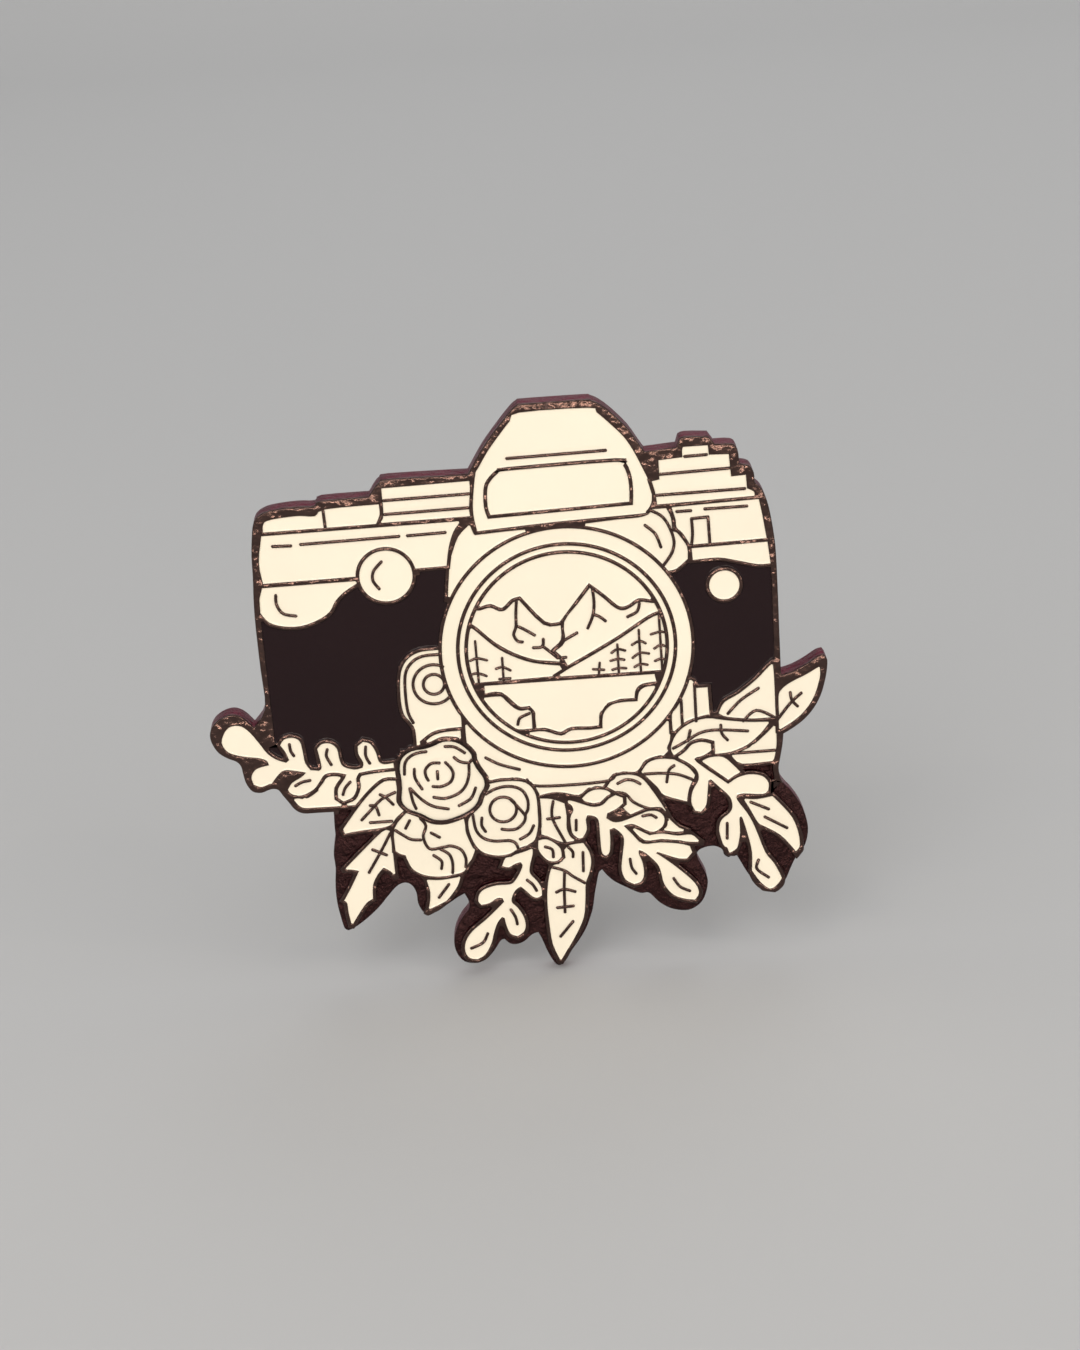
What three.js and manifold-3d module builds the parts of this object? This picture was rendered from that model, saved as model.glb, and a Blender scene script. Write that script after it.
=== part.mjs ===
// A die-struck soft-enamel lapel pin: an SLR camera with a mountain view in its lens, over roses and leaves.
// Front faces -Y, +X is the viewer's right, +Z is up. The origin is on the back face, behind the lens centre.
// Millimetres. The artwork is drawn in the plate's own plane as [x, z].
// A third value of 1 marks a sharp corner of an outline.
import * as THREE from "three";
import { mergeVertices } from "three/addons/utils/BufferGeometryUtils.js";
import Module from "manifold-3d";

const wasm = await Module();
wasm.setup();

// Driving dimensions.
const ART_SCALE = 1.0; // 1.0 gives a pin 45 mm wide
const PLATE_THICK = 1.8;
const POCKET_DEEP = 0.55; // enamel pockets struck into the front
const ENAMEL_BELOW = 0.12; // soft enamel dries lower than the metal lines
const ENAMEL_GAP = 0.03; // clearance between each enamel fill and its pocket
const LINE = 0.3; // metal line left between two fills
const RIM = 0.45; // metal rim left at the edge of the plate
const GROUND_DEEP = 0.4; // the bare ground struck down between the leaves
const GROUND_BELOW_Z = -8.6; // the ground is struck only under this height
const RIMLESS_BELOW_Z = -11.6; // and runs out to the plate's edge under this one
const THINNEST_FILL = 0.16; // narrower places are left as bare metal
const SMALLEST_FILL = 0.2; // square millimetres

const POST_X = [-13, 6];
const POST_Z = 2;
const POST_RADIUS = 0.55;
const POST_LONG = 9;
const POST_TIP = 1.1;
const POST_NOTCH = 0.12;
const POST_NOTCH_FROM_TIP = 2.2;
const POST_HEAD_RADIUS = 2.6;
const POST_HEAD_THICK = 0.35;
const SOLDER_GAP = 0.02; // solder film under the post's head

const CLUTCH_AT = 1.5; // back face to the cup's clamping face, at rest
const CUP_RADIUS = 5.7;
const CUP_SHEET = 0.4;
const CUP_DEEP = 1.9;
const CUP_LIP = 0.75; // how far the curled rim reaches inwards
const POST_CLEARANCE = 0.25; // round the post in each hole it passes through
const CUP_HOLE = POST_RADIUS + POST_CLEARANCE;
const SPRING_GAP = 0.12; // running clearance round the spring strip
const SPRING_WIDE = 3.4;
const SPRING_SHEET = 0.3;
const WING_WIDE = 5.6;
const WING_HIGH = 5.4;
const WING_SHEET = 0.32;
const WING_HINGE_Z = 2.2; // hinge line of each wing, from the post's axis
const WING_JAW_GAP = 0.14; // jaw tip to post
const WING_LIFT = 0.5; // jaw above the spring strip, so that it can tip

const metal = (color, roughness) => new THREE.MeshStandardMaterial({ color, roughness, metalness: 1 });
const enamel = (color) => new THREE.MeshStandardMaterial({ color, roughness: 0.22, metalness: 0 });
const DARK_NICKEL = metal("#3a2a2c", 0.35);
const STEEL = metal("#b9b9b4", 0.3);
const BRIGHT_NICKEL = metal("#b5b2aa", 0.32);
const CREAM = enamel("#f6ecd9");
const BLACK = enamel("#2a1a1e");
const SKIN = null; // a pocket whose enamel is only a skin, with no solid of its own

// ---- Outlines ----

/** A closed Catmull-Rom curve through the points, broken at the points marked as corners. */
function outline(points, steps = 1) {
  const count = points.length;
  const result = [];
  for (let i = 0; i < count; i++) {
    const [p0, p1, p2, p3] = [-1, 0, 1, 2].map((k) => points[(i + k + count) % count]);
    const start = p1[2] ? p1 : p0;
    const end = p2[2] ? p2 : p3;
    const straight = p1[2] && p2[2];
    const parts = straight ? 1 : steps;
    for (let s = 0; s < parts; s++) {
      const t = s / parts;
      const at = (k) =>
        0.5 *
        (2 * p1[k] +
          (p2[k] - start[k]) * t +
          (2 * start[k] - 5 * p1[k] + 4 * p2[k] - end[k]) * t * t +
          (3 * p1[k] - start[k] - 3 * p2[k] + end[k]) * t * t * t);
      result.push(new THREE.Vector2(at(0) * ART_SCALE, at(1) * ART_SCALE));
    }
  }
  return THREE.ShapeUtils.area(result) < 0 ? result.reverse() : result;
}

const circle = (x, z, radius, sides = 36) =>
  Array.from({ length: sides }, (_, i) => {
    const turn = (2 * Math.PI * i) / sides;
    const point = new THREE.Vector2(x + radius * Math.cos(turn), z + radius * Math.sin(turn));
    return point.multiplyScalar(ART_SCALE);
  });

/** The flat region inside an outline. */
const region = (points) => new wasm.CrossSection([points.map((p) => [p.x, p.y])], "Positive");

/** A region grown outwards by a distance, or shrunk inwards by a negative one. */
const grow = (flat, distance) => flat.offset(distance, "Miter", 1.6).simplify(0.004);

// ---- Solids ----

function solid(geometry) {
  const bare = geometry.clone();
  for (const name of Object.keys(bare.attributes)) {
    if (name !== "position") bare.deleteAttribute(name);
  }
  const merged = mergeVertices(bare);
  const vertProperties = new Float32Array(merged.attributes.position.array);
  const triVerts = new Uint32Array(merged.index.array);
  return new wasm.Manifold(new wasm.Mesh({ numProp: 3, vertProperties, triVerts }));
}

/** The shapes of a flat region: each outer loop with the holes that lie inside it. */
function shapesOf(flat) {
  return flat.decompose().map((part) => {
    const loops = part.toPolygons().map((loop) => loop.map(([x, y]) => new THREE.Vector2(x, y)));
    loops.sort((a, b) => THREE.ShapeUtils.area(b) - THREE.ShapeUtils.area(a));
    const shape = new THREE.Shape(loops[0]);
    shape.holes = loops.slice(1).map((loop) => new THREE.Path(loop));
    return shape;
  });
}

/** A prism on a flat region, from one height above the plate's back face to another. */
function slab(flat, low, high) {
  const geometry = new THREE.ExtrudeGeometry(shapesOf(flat), {
    depth: high - low,
    bevelEnabled: false,
    steps: 1,
  });
  return solid(geometry).translate([0, 0, low]);
}

function geometryOf(manifold) {
  const mesh = manifold.getMesh();
  const geometry = new THREE.BufferGeometry();
  geometry.setAttribute("position", new THREE.BufferAttribute(mesh.vertProperties.slice(), 3));
  geometry.setIndex(new THREE.BufferAttribute(mesh.triVerts.slice(), 1));
  geometry.computeVertexNormals();
  return geometry;
}

// ---- Artwork ----

const SILHOUETTE = [
  [-2.45, 18.2], [-1.9, 18.28], [2.2, 18.28], [2.75, 18.2], [3.4, 17.85], [4.3, 17.05], [5.3, 15.9],
  [6.0, 14.75], [6.35, 14.2, 1], [8.6, 14.35, 1], [8.8, 14.95], [9.3, 15.1], [10.9, 15.0], [11.3, 14.4, 1],
  [12.5, 14.35], [12.9, 13.9], [13.0, 12.85, 1], [13.7, 12.65], [14.0, 12.1], [14.05, 11.4, 1],
  [14.5, 10.9], [14.85, 10.0], [15.05, 9.0], [15.25, 7.5], [15.35, 6.0], [15.38, 3.0], [15.38, 0.0],
  [15.38, -3.2, 1], [16.3, -2.95], [17.3, -2.45], [18.1, -1.95], [18.55, -1.85], [18.78, -2.3],
  [18.7, -3.2], [18.5, -4.1], [18.2, -5.0], [17.7, -5.9], [17.0, -6.7], [16.2, -7.3], [15.4, -7.75, 1],
  [15.3, -8.6], [15.1, -9.6], [14.95, -10.4], [15.05, -11.2], [15.4, -11.9], [15.9, -12.5], [16.5, -13.5],
  [16.85, -14.5], [17.0, -15.5], [16.85, -16.5], [16.5, -17.2], [16.0, -17.8], [15.6, -18.6], [15.2, -19.5],
  [14.7, -20.1], [14.2, -20.4], [13.6, -20.3], [12.9, -19.6], [12.3, -18.6], [11.9, -17.8], [11.55, -17.1],
  [11.3, -17.25], [11.0, -17.4], [10.7, -17.15], [10.55, -16.7], [10.0, -16.4], [9.3, -16.45], [8.8, -16.7],
  [8.7, -17.1], [8.95, -17.8], [9.3, -18.6], [9.4, -19.3], [9.2, -20.2], [8.8, -20.9], [8.1, -21.35],
  [7.4, -21.4], [6.5, -21.15], [5.7, -20.6], [5.15, -19.95], [4.85, -19.75], [4.3, -19.75], [3.3, -19.2],
  [2.5, -18.7], [1.95, -18.15], [1.6, -17.65], [1.35, -17.9], [1.15, -18.7], [0.95, -19.6], [0.75, -20.7],
  [0.45, -21.6], [0.1, -22.4], [-0.4, -23.2], [-1.0, -24.0], [-1.5, -24.8], [-1.9, -25.15], [-2.2, -25.1],
  [-2.5, -24.7], [-2.9, -23.8], [-3.2, -22.9], [-3.45, -22.35], [-3.9, -22.5], [-4.5, -23.0], [-5.1, -23.2],
  [-5.6, -23.1], [-6.0, -22.7], [-6.3, -22.85], [-6.8, -23.6], [-7.5, -24.3], [-8.3, -24.5], [-9.1, -24.3],
  [-9.6, -23.6], [-9.75, -22.7], [-9.5, -21.6], [-9.0, -20.7], [-8.5, -20.1], [-8.42, -19.5],
  [-8.7, -18.8], [-9.2, -19.05], [-10.0, -19.55], [-10.8, -19.9], [-11.5, -20.2], [-11.9, -20.0],
  [-12.2, -19.3], [-12.25, -18.5], [-12.5, -17.9], [-12.9, -17.6], [-13.35, -17.65], [-13.8, -17.95],
  [-14.4, -18.6], [-15.1, -19.4], [-16.0, -20.2], [-17.0, -20.9], [-17.5, -21.1], [-17.8, -20.9],
  [-18.0, -20.0], [-18.15, -19.0], [-18.2, -18.0], [-18.15, -17.0], [-18.05, -16.0], [-18.1, -15.0],
  [-18.0, -14.2], [-17.85, -13.5], [-17.85, -12.6], [-17.8, -11.4, 1], [-19.0, -11.38], [-20.0, -11.35],
  [-20.6, -11.0], [-21.0, -10.4], [-21.4, -9.8], [-21.7, -9.35], [-22.2, -9.28], [-22.9, -9.5],
  [-23.55, -9.35], [-23.95, -8.7], [-24.1, -8.0], [-24.2, -7.35], [-24.5, -6.95], [-25.1, -6.65],
  [-25.7, -6.2], [-26.1, -5.5], [-26.22, -4.8], [-26.0, -4.15], [-25.5, -3.65], [-24.8, -3.35],
  [-24.2, -3.35], [-23.6, -3.7], [-23.0, -4.4], [-22.5, -5.05], [-22.0, -5.6, 1], [-22.05, -3.0],
  [-22.1, 0.0], [-22.15, 3.0], [-22.12, 5.0], [-22.0, 7.0], [-21.95, 8.5], [-21.8, 9.9], [-21.6, 10.9],
  [-21.2, 11.45], [-20.3, 11.8], [-18.5, 11.95], [-17.2, 11.9, 1], [-16.7, 12.25], [-13.3, 12.3, 1],
  [-12.9, 12.9], [-12.5, 13.3], [-11.8, 13.5], [-6.2, 13.45, 1], [-5.8, 14.1], [-5.0, 15.35], [-4.0, 16.6],
  [-3.0, 17.75],
];

// The lens is a set of discs that share one centre.
const LENS_RIM_RADIUS = 8.98;
const LENS_RING_RADIUS = 7.7;
const LENS_VIEW_RADIUS = 7.1;
const KNOB = [-12.55, 6.38, 1.88];
const BUTTON = [11.55, 3.95, 1.07];

// Fills from the back of the picture to the front: each later fill cuts the ones before it, one line away.
const fills = [
  ["enamel_grip_left", BLACK, outline([
    [-22.0, 5.6, 1], [-14.7, 6.1, 1], [-10.4, 6.9, 1], [-7.9, 6.9, 1], [-7.5, -5.6, 1], [-9.0, -6.9, 1],
    [-12.6, -6.9, 1], [-12.9, -7.95, 1], [-16.0, -8.2], [-19.0, -8.2], [-20.6, -7.5, 1], [-22.0, -6.4, 1],
  ])],
  ["enamel_grip_right", BLACK, outline([
    [7.0, 5.2, 1], [8.2, 5.2, 1], [9.2, 5.85, 1], [11.3, 5.8], [12.5, 5.5], [14.0, 5.15], [15.3, 5.1, 1],
    [15.3, -2.0, 1], [14.0, -2.8], [12.5, -3.9], [11.2, -4.7], [10.7, -5.4], [10.55, -6.1, 1],
    [10.3, -6.1, 1], [10.3, -3.6, 1], [9.1, -3.5, 1], [8.9, -2.8, 1], [7.0, -2.8, 1],
  ])],
  ["enamel_base", CREAM, outline([
    [-7.75, -5.3, 1], [7.2, -5.7, 1], [7.15, -7.0], [6.95, -8.4], [6.6, -8.75], [5.2, -9.3], [4.4, -9.9],
    [3.0, -9.85], [2.2, -10.9, 1], [0.9, -10.9], [0.2, -11.4, 1], [-0.8, -11.15], [-1.7, -11.05],
    [-2.6, -11.2, 1], [-4.5, -9.65], [-6.2, -9.75, 1], [-7.6, -8.0],
  ])],
  ["pocket_side_strips", SKIN, outline([
    [7.35, -7.0, 1], [7.35, -5.6, 1], [8.1, -4.4, 1], [8.75, -3.1], [8.95, -3.2, 1], [9.2, -3.75, 1],
    [10.0, -3.75, 1], [10.1, -6.5, 1], [8.8, -6.6, 1],
  ])],
  ["enamel_foot_left", CREAM, outline([
    [-20.75, -10.15, 1], [-19.5, -10.15], [-18.8, -9.7], [-18.2, -8.3, 1], [-12.9, -8.4, 1],
    [-13.1, -9.2, 1], [-14.0, -9.1], [-15.0, -9.8], [-15.9, -10.95, 1], [-20.0, -10.95], [-20.5, -10.75],
  ])],
  ["enamel_foot_right", CREAM, outline([
    [11.5, -9.15, 1], [12.4, -8.85, 1], [13.4, -8.3], [14.2, -7.6], [14.9, -6.9, 1], [14.8, -9.3],
    [14.5, -9.8], [12.3, -9.85, 1],
  ])],
  ["enamel_mount_left", CREAM, outline([
    [-6.1, 9.0, 1], [-6.35, 9.75, 1], [-7.2, 8.9], [-7.75, 7.6], [-8.0, 6.5], [-8.15, 5.3], [-8.25, 4.4, 1],
    [-2.0, 4.4, 1], [-2.0, 9.1, 1],
  ])],
  ["enamel_mount_right", CREAM, outline([
    [1.5, 9.2, 1], [5.6, 9.45, 1], [6.4, 9.95, 1], [7.65, 9.95, 1], [7.95, 9.2], [8.0, 8.2, 1],
    [8.3, 8.1, 1], [8.75, 7.5], [9.0, 7.0], [9.0, 6.1, 1], [8.2, 5.45, 1], [1.5, 4.0, 1],
  ])],
  ["enamel_winder", CREAM, outline([
    [-20.95, 10.25, 1], [-20.9, 10.75], [-20.6, 11.05], [-19.5, 11.2], [-18.3, 11.25], [-17.2, 11.15],
    [-16.45, 11.6, 1], [-12.65, 11.7, 1], [-12.65, 10.95], [-12.95, 10.3, 1],
  ])],
  ["enamel_dial_left", CREAM, outline([
    [-12.35, 12.85, 1], [-6.15, 12.95, 1], [-6.15, 10.4, 1], [-12.6, 10.35, 1], [-12.35, 10.9],
  ])],
  ["enamel_cover_left", CREAM, outline([
    [-21.1, 9.95, 1], [-7.0, 10.05, 1], [-7.55, 9.3], [-7.95, 8.2], [-8.2, 6.85, 1], [-10.4, 6.8, 1],
    [-10.4, 6.55, 1], [-21.3, 6.45, 1], [-21.45, 8.0],
  ])],
  ["enamel_grip_lobe", CREAM, outline([
    [-21.4, 6.1, 1], [-14.7, 6.15, 1], [-14.75, 5.95, 1], [-15.6, 5.45], [-16.3, 4.8], [-16.8, 4.0],
    [-17.7, 3.45], [-18.9, 3.1], [-20.1, 3.15], [-21.1, 3.5], [-21.65, 4.2], [-21.75, 4.9], [-21.6, 5.5],
  ])],
  ["enamel_rewind_knob", CREAM, circle(...KNOB, 28)],
  ["enamel_prism", CREAM, outline([
    [-2.3, 17.65, 1], [2.55, 17.65, 1], [3.1, 17.3], [4.0, 16.4], [4.9, 15.4], [5.5, 14.4], [6.0, 13.3],
    [6.5, 12.1], [6.7, 11.2], [6.6, 10.4], [6.2, 9.85], [5.6, 9.7, 1], [0.0, 9.55], [-5.8, 9.25, 1],
    [-5.95, 10.0], [-6.0, 11.0], [-5.85, 12.3], [-5.6, 13.7], [-5.2, 14.5], [-4.2, 15.75], [-3.2, 16.9],
  ])],
  ["enamel_prism_window", CREAM, outline([
    [-4.0, 13.4], [-3.4, 13.5], [4.2, 13.6], [4.75, 13.3], [5.05, 12.4], [5.1, 11.3], [5.05, 10.65, 1],
    [-4.8, 10.38, 1], [-4.95, 11.0], [-4.9, 12.2], [-4.65, 12.8],
  ])],
  ["enamel_dial_right", CREAM, outline([
    [9.0, 14.35, 1], [10.8, 14.35, 1], [10.85, 13.65, 1], [12.25, 13.6, 1], [12.35, 11.95, 1],
    [13.4, 12.0, 1], [13.45, 11.0, 1], [13.9, 10.75], [14.0, 10.4, 1], [7.05, 10.3, 1], [6.95, 11.2],
    [6.75, 12.0, 1], [7.3, 12.1, 1], [7.3, 13.5, 1], [9.0, 13.6, 1],
  ])],
  ["enamel_cover_right", CREAM, outline([
    [8.05, 10.0, 1], [14.25, 10.15, 1], [14.45, 9.0], [14.7, 7.2, 1], [9.25, 7.15, 1], [8.75, 8.05],
    [8.35, 8.5, 1], [8.3, 9.1],
  ])],
  ["enamel_cover_lip", CREAM, outline([
    [9.35, 6.85, 1], [14.75, 6.95, 1], [14.9, 5.35, 1], [14.0, 5.35], [12.5, 5.75], [11.2, 6.05],
    [9.4, 6.0, 1],
  ])],
  ["enamel_button", CREAM, circle(...BUTTON, 20)],
  ["enamel_lever", CREAM, outline([
    [-8.8, 0.55, 1], [-10.4, 0.5], [-11.3, 0.15], [-11.9, -0.6], [-12.15, -1.7], [-12.2, -3.2],
    [-12.05, -4.2], [-11.65, -4.8], [-11.35, -5.4], [-11.3, -6.8, 1], [-8.0, -6.8, 1], [-8.0, -3.0, 1],
  ])],
  ["enamel_lens_rim", CREAM, circle(0, 0, LENS_RIM_RADIUS, 64)],
  ["enamel_lens_ring", CREAM, circle(0, 0, LENS_RING_RADIUS, 60)],
  ["enamel_sky", CREAM, circle(0, 0, LENS_VIEW_RADIUS, 56)],
  ["enamel_mountain_left", CREAM, outline([
    [-7.4, 3.35, 1], [-6.0, 3.3], [-5.3, 3.45], [-4.7, 3.15], [-4.2, 3.2], [-3.6, 3.75], [-3.2, 3.85, 1],
    [-1.6, 1.9, 1], [-0.35, 1.75, 1], [-0.4, 0.7, 1], [-1.0, 0.1, 1], [-0.35, -1.0, 1], [-3.0, -0.6],
    [-7.4, 2.4, 1],
  ]), "view"],
  ["enamel_mountain_right", CREAM, outline([
    [-0.08, 0.5, 1], [-0.05, 2.0, 1], [1.0, 3.3], [1.9, 4.4, 1], [2.8, 3.6], [3.6, 2.8], [4.2, 2.55],
    [4.8, 2.75], [5.4, 3.1], [6.3, 2.95], [7.4, 2.9, 1], [7.2, 2.5, 1], [6.0, 2.0], [4.0, 0.8],
    [2.0, -0.25], [0.0, -1.3, 1], [-0.3, -0.7], [-0.8, -0.15, 1],
  ]), "view"],
  ["enamel_hill_left", CREAM, outline([
    [-7.4, 2.6, 1], [-6.4, 1.7], [-5.2, 0.5], [-4.0, -0.3], [-2.5, -0.95], [-0.6, -1.3, 1],
    [-0.45, -1.6, 1], [-1.2, -2.05, 1], [-7.4, -2.15, 1],
  ]), "view"],
  ["enamel_hill_right", CREAM, outline([
    [0.05, -1.6, 1], [2.0, -0.6], [4.0, 0.5], [6.0, 1.75], [7.4, 2.3, 1], [7.4, -2.15, 1], [-0.8, -2.1, 1],
  ]), "view"],
  ["enamel_lake", CREAM, outline([
    [-6.1, -2.45, 1], [6.2, -2.45, 1], [6.3, -3.0, 1], [5.3, -3.1], [4.8, -3.5], [4.65, -4.2, 1],
    [3.4, -4.2], [2.5, -4.6], [2.1, -5.2], [1.95, -6.1, 1], [1.0, -6.1], [0.0, -6.05], [-0.7, -6.4, 1],
    [-1.6, -6.1], [-2.55, -5.95, 1], [-2.6, -4.7, 1], [-3.1, -4.3], [-3.8, -4.1, 1], [-4.9, -3.0, 1],
    [-6.1, -3.0, 1],
  ]), "view"],
  ["enamel_bush_left", CREAM, outline([
    [-6.9, -3.35, 1], [-5.0, -3.35, 1], [-4.1, -4.3, 1], [-3.6, -4.55], [-3.1, -4.5], [-2.88, -4.8, 1],
    [-2.88, -5.95, 1], [-4.6, -5.95, 1],
  ]), "view"],
  ["enamel_bush_right", CREAM, outline([
    [-4.2, -6.27, 1], [-2.0, -6.27], [-0.8, -6.7], [0.0, -6.35], [1.3, -6.4], [2.25, -6.35, 1],
    [2.35, -5.3], [2.9, -4.65], [3.7, -4.45], [4.9, -4.45, 1], [5.05, -3.75], [5.5, -3.4], [6.9, -3.3, 1],
    [5.5, -6.5, 1], [0.0, -7.6, 1],
  ]), "view"],
  ["enamel_leaf_far_right", CREAM, outline([
    [15.1, -5.0], [15.4, -4.3], [16.1, -3.8], [17.2, -3.3], [18.2, -2.75, 1], [18.2, -3.6], [17.9, -5.0],
    [17.3, -6.1], [16.3, -7.0], [15.1, -7.5, 1], [15.1, -6.6],
  ])],
  ["enamel_blade_leaf", CREAM, outline([
    [10.75, -5.8], [11.2, -5.0], [12.3, -4.4], [13.6, -3.4], [14.3, -2.7], [14.8, -2.25, 1],
    [14.85, -3.4], [14.85, -6.4, 1], [13.2, -6.4], [11.4, -6.15],
  ])],
  ["enamel_leaf_long", CREAM, outline([
    [7.15, -8.2], [7.6, -7.2], [8.5, -6.5], [9.8, -6.15], [11.2, -6.4], [12.8, -6.65], [14.4, -6.75, 1],
    [13.7, -7.6], [12.7, -8.4], [11.5, -8.85], [10.3, -8.95, 1], [9.0, -8.9], [7.3, -8.8, 1],
  ])],
  ["enamel_leaf_round", CREAM, outline([
    [4.9, -9.95, 1], [5.4, -9.3], [6.2, -9.05], [7.2, -9.15], [8.1, -9.6], [8.8, -10.5], [8.55, -11.0],
    [8.3, -11.5], [8.1, -12.5, 1], [7.3, -12.2], [6.5, -11.9], [6.0, -11.2], [5.3, -10.4],
  ])],
  ["enamel_leaf_low_right", CREAM, outline([
    [12.3, -12.65, 1], [13.3, -12.75], [14.4, -12.6], [15.0, -13.3], [15.8, -14.4], [16.2, -15.6],
    [16.3, -16.8], [16.15, -17.4, 1], [15.8, -16.8], [14.9, -15.7], [13.8, -14.95], [13.3, -14.6],
    [12.8, -13.6],
  ])],
  ["enamel_petal_right", CREAM, outline([
    [9.3, -9.45, 1], [10.0, -9.2], [10.9, -9.25], [11.6, -9.9], [12.1, -10.5], [11.7, -10.75],
    [11.2, -11.05, 1], [10.2, -10.3],
  ])],
  ["enamel_branch_right", CREAM, outline([
    [7.6, -9.0, 1], [8.2, -8.6], [8.7, -8.1], [9.4, -7.95], [10.05, -8.15], [10.05, -8.65], [9.5, -8.98],
    [8.95, -9.1], [8.95, -9.5], [9.9, -10.3], [11.2, -11.4, 1], [11.9, -10.95], [12.8, -10.75],
    [13.7, -10.95], [14.15, -11.5], [14.1, -12.1], [13.7, -12.35], [12.3, -12.2], [11.8, -12.3],
    [11.8, -12.7], [12.5, -13.8], [13.0, -14.9], [13.4, -16.1], [13.7, -17.0], [14.3, -17.9],
    [14.8, -19.0], [14.75, -19.8], [14.3, -20.0], [13.6, -19.85], [12.95, -19.3], [12.7, -18.3],
    [12.75, -16.9], [12.5, -15.5], [12.2, -14.3], [12.05, -14.0], [11.9, -14.2], [11.9, -15.3],
    [11.7, -16.3], [11.4, -16.85], [11.05, -16.8], [10.6, -16.0], [10.4, -15.0], [10.6, -14.2],
    [11.2, -13.7], [11.45, -13.2], [11.3, -12.4], [10.6, -11.6], [9.95, -10.9], [9.75, -11.0],
    [9.65, -11.8], [9.5, -12.9], [9.1, -13.4], [8.7, -13.3], [8.45, -12.6], [8.6, -11.7], [9.05, -10.9],
    [9.0, -10.2], [8.5, -9.6],
  ])],
  ["enamel_leaf_centre", CREAM, outline([
    [2.35, -10.9, 1], [2.9, -10.25], [3.6, -10.1], [4.4, -10.2], [5.0, -10.6], [5.6, -11.5], [6.4, -12.9],
    [6.8, -13.9], [7.4, -14.55], [8.0, -14.85, 1], [6.9, -14.85], [5.0, -14.3], [3.6, -12.9],
    [2.6, -11.4],
  ])],
  ["pocket_leaf_small", SKIN, outline([
    [0.45, -11.7, 1], [0.9, -11.3], [1.5, -11.1], [2.2, -11.2], [2.55, -11.45, 1], [2.0, -12.0],
    [1.3, -12.15], [0.7, -12.0],
  ])],
  ["pocket_leaf_sliver", SKIN, outline([
    [3.8, -14.2, 1], [4.6, -14.6], [5.3, -15.0], [6.2, -14.95], [7.3, -15.2], [8.3, -15.2], [8.95, -15.8, 1],
    [8.3, -15.75], [6.5, -15.4], [4.9, -15.4, 1],
  ])],
  ["enamel_branch_centre", CREAM, outline([
    [-0.9, -11.7, 1], [-0.2, -11.9], [0.5, -12.2], [1.2, -12.45], [1.9, -12.35], [2.4, -11.9],
    [2.9, -11.65], [3.4, -11.9], [3.4, -12.3], [2.9, -12.7], [2.2, -13.0], [2.1, -13.4], [2.6, -13.75],
    [3.3, -13.75], [4.6, -13.3], [5.2, -13.1], [5.9, -13.15], [6.35, -13.6], [6.3, -14.2], [5.9, -14.6],
    [5.3, -14.7], [4.7, -14.35], [4.2, -14.05], [3.7, -14.0], [3.35, -14.1], [4.0, -14.9],
    [4.7, -15.65], [6.0, -15.65], [7.4, -15.85], [8.15, -16.1], [8.3, -16.6], [7.9, -17.05], [7.3, -17.0],
    [6.3, -16.6], [5.75, -16.35], [5.6, -16.45], [6.3, -17.0], [7.4, -18.0], [8.4, -19.1], [8.65, -19.9],
    [8.35, -20.4], [7.7, -20.3], [6.8, -19.9], [6.15, -19.0], [5.95, -18.0], [5.7, -17.3], [4.9, -16.4],
    [4.4, -16.1], [4.35, -16.4], [4.6, -17.2], [4.65, -18.1], [4.4, -18.65], [3.9, -18.8], [3.3, -18.4],
    [3.05, -17.6], [3.15, -16.6], [3.35, -15.2], [3.1, -14.6], [2.65, -14.2], [2.3, -14.3], [2.3, -15.2],
    [2.2, -16.1], [1.9, -16.4], [1.65, -16.0], [1.6, -14.6], [1.55, -13.5], [1.2, -13.15], [0.75, -13.05],
    [0.6, -13.4], [0.62, -14.2], [0.3, -14.8], [-0.15, -14.85], [-0.45, -14.3], [-0.5, -13.2],
    [-0.25, -12.6], [-0.35, -12.2],
  ])],
  ["enamel_leaf_veined", CREAM, outline([
    [-2.65, -11.5, 1], [-1.8, -11.6], [-0.9, -12.0, 1], [-0.8, -13.0], [-0.85, -14.0], [-0.6, -14.7],
    [-0.25, -15.0, 1], [-1.0, -15.1], [-1.8, -14.8], [-2.3, -14.5], [-2.7, -14.3, 1], [-2.65, -13.0],
  ])],
  ["enamel_leaf_spear", CREAM, outline([
    [-2.1, -17.0, 1], [-1.3, -16.6], [-1.1, -15.7], [-0.7, -15.35], [0.3, -15.25], [0.7, -16.0],
    [0.8, -16.8], [0.6, -17.7], [0.3, -18.5], [0.2, -19.8], [0.0, -21.2], [-0.6, -22.5], [-1.2, -23.5],
    [-1.9, -24.6, 1], [-2.4, -23.2], [-2.55, -21.5], [-2.6, -19.8], [-2.45, -18.2],
  ])],
  ["enamel_branch_low", CREAM, outline([
    [-5.75, -16.6], [-5.5, -16.05], [-4.9, -15.85], [-4.0, -15.6], [-3.45, -15.4], [-3.5, -15.9],
    [-3.75, -16.8], [-3.75, -17.4], [-3.3, -18.0], [-3.0, -18.6], [-3.0, -19.2], [-3.35, -19.35],
    [-3.7, -19.2], [-4.1, -18.75], [-4.5, -18.35], [-4.9, -18.6], [-5.2, -19.1], [-5.25, -19.6],
    [-4.9, -20.0], [-4.5, -20.7], [-4.35, -21.4], [-4.5, -22.0], [-5.0, -22.35], [-5.5, -22.1],
    [-5.75, -21.4], [-5.85, -20.8], [-6.05, -20.7], [-6.4, -21.1], [-6.7, -21.8], [-7.0, -22.8],
    [-7.5, -23.65], [-8.1, -24.0], [-8.65, -23.85], [-8.95, -23.3], [-8.85, -22.5], [-8.3, -21.7],
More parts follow.
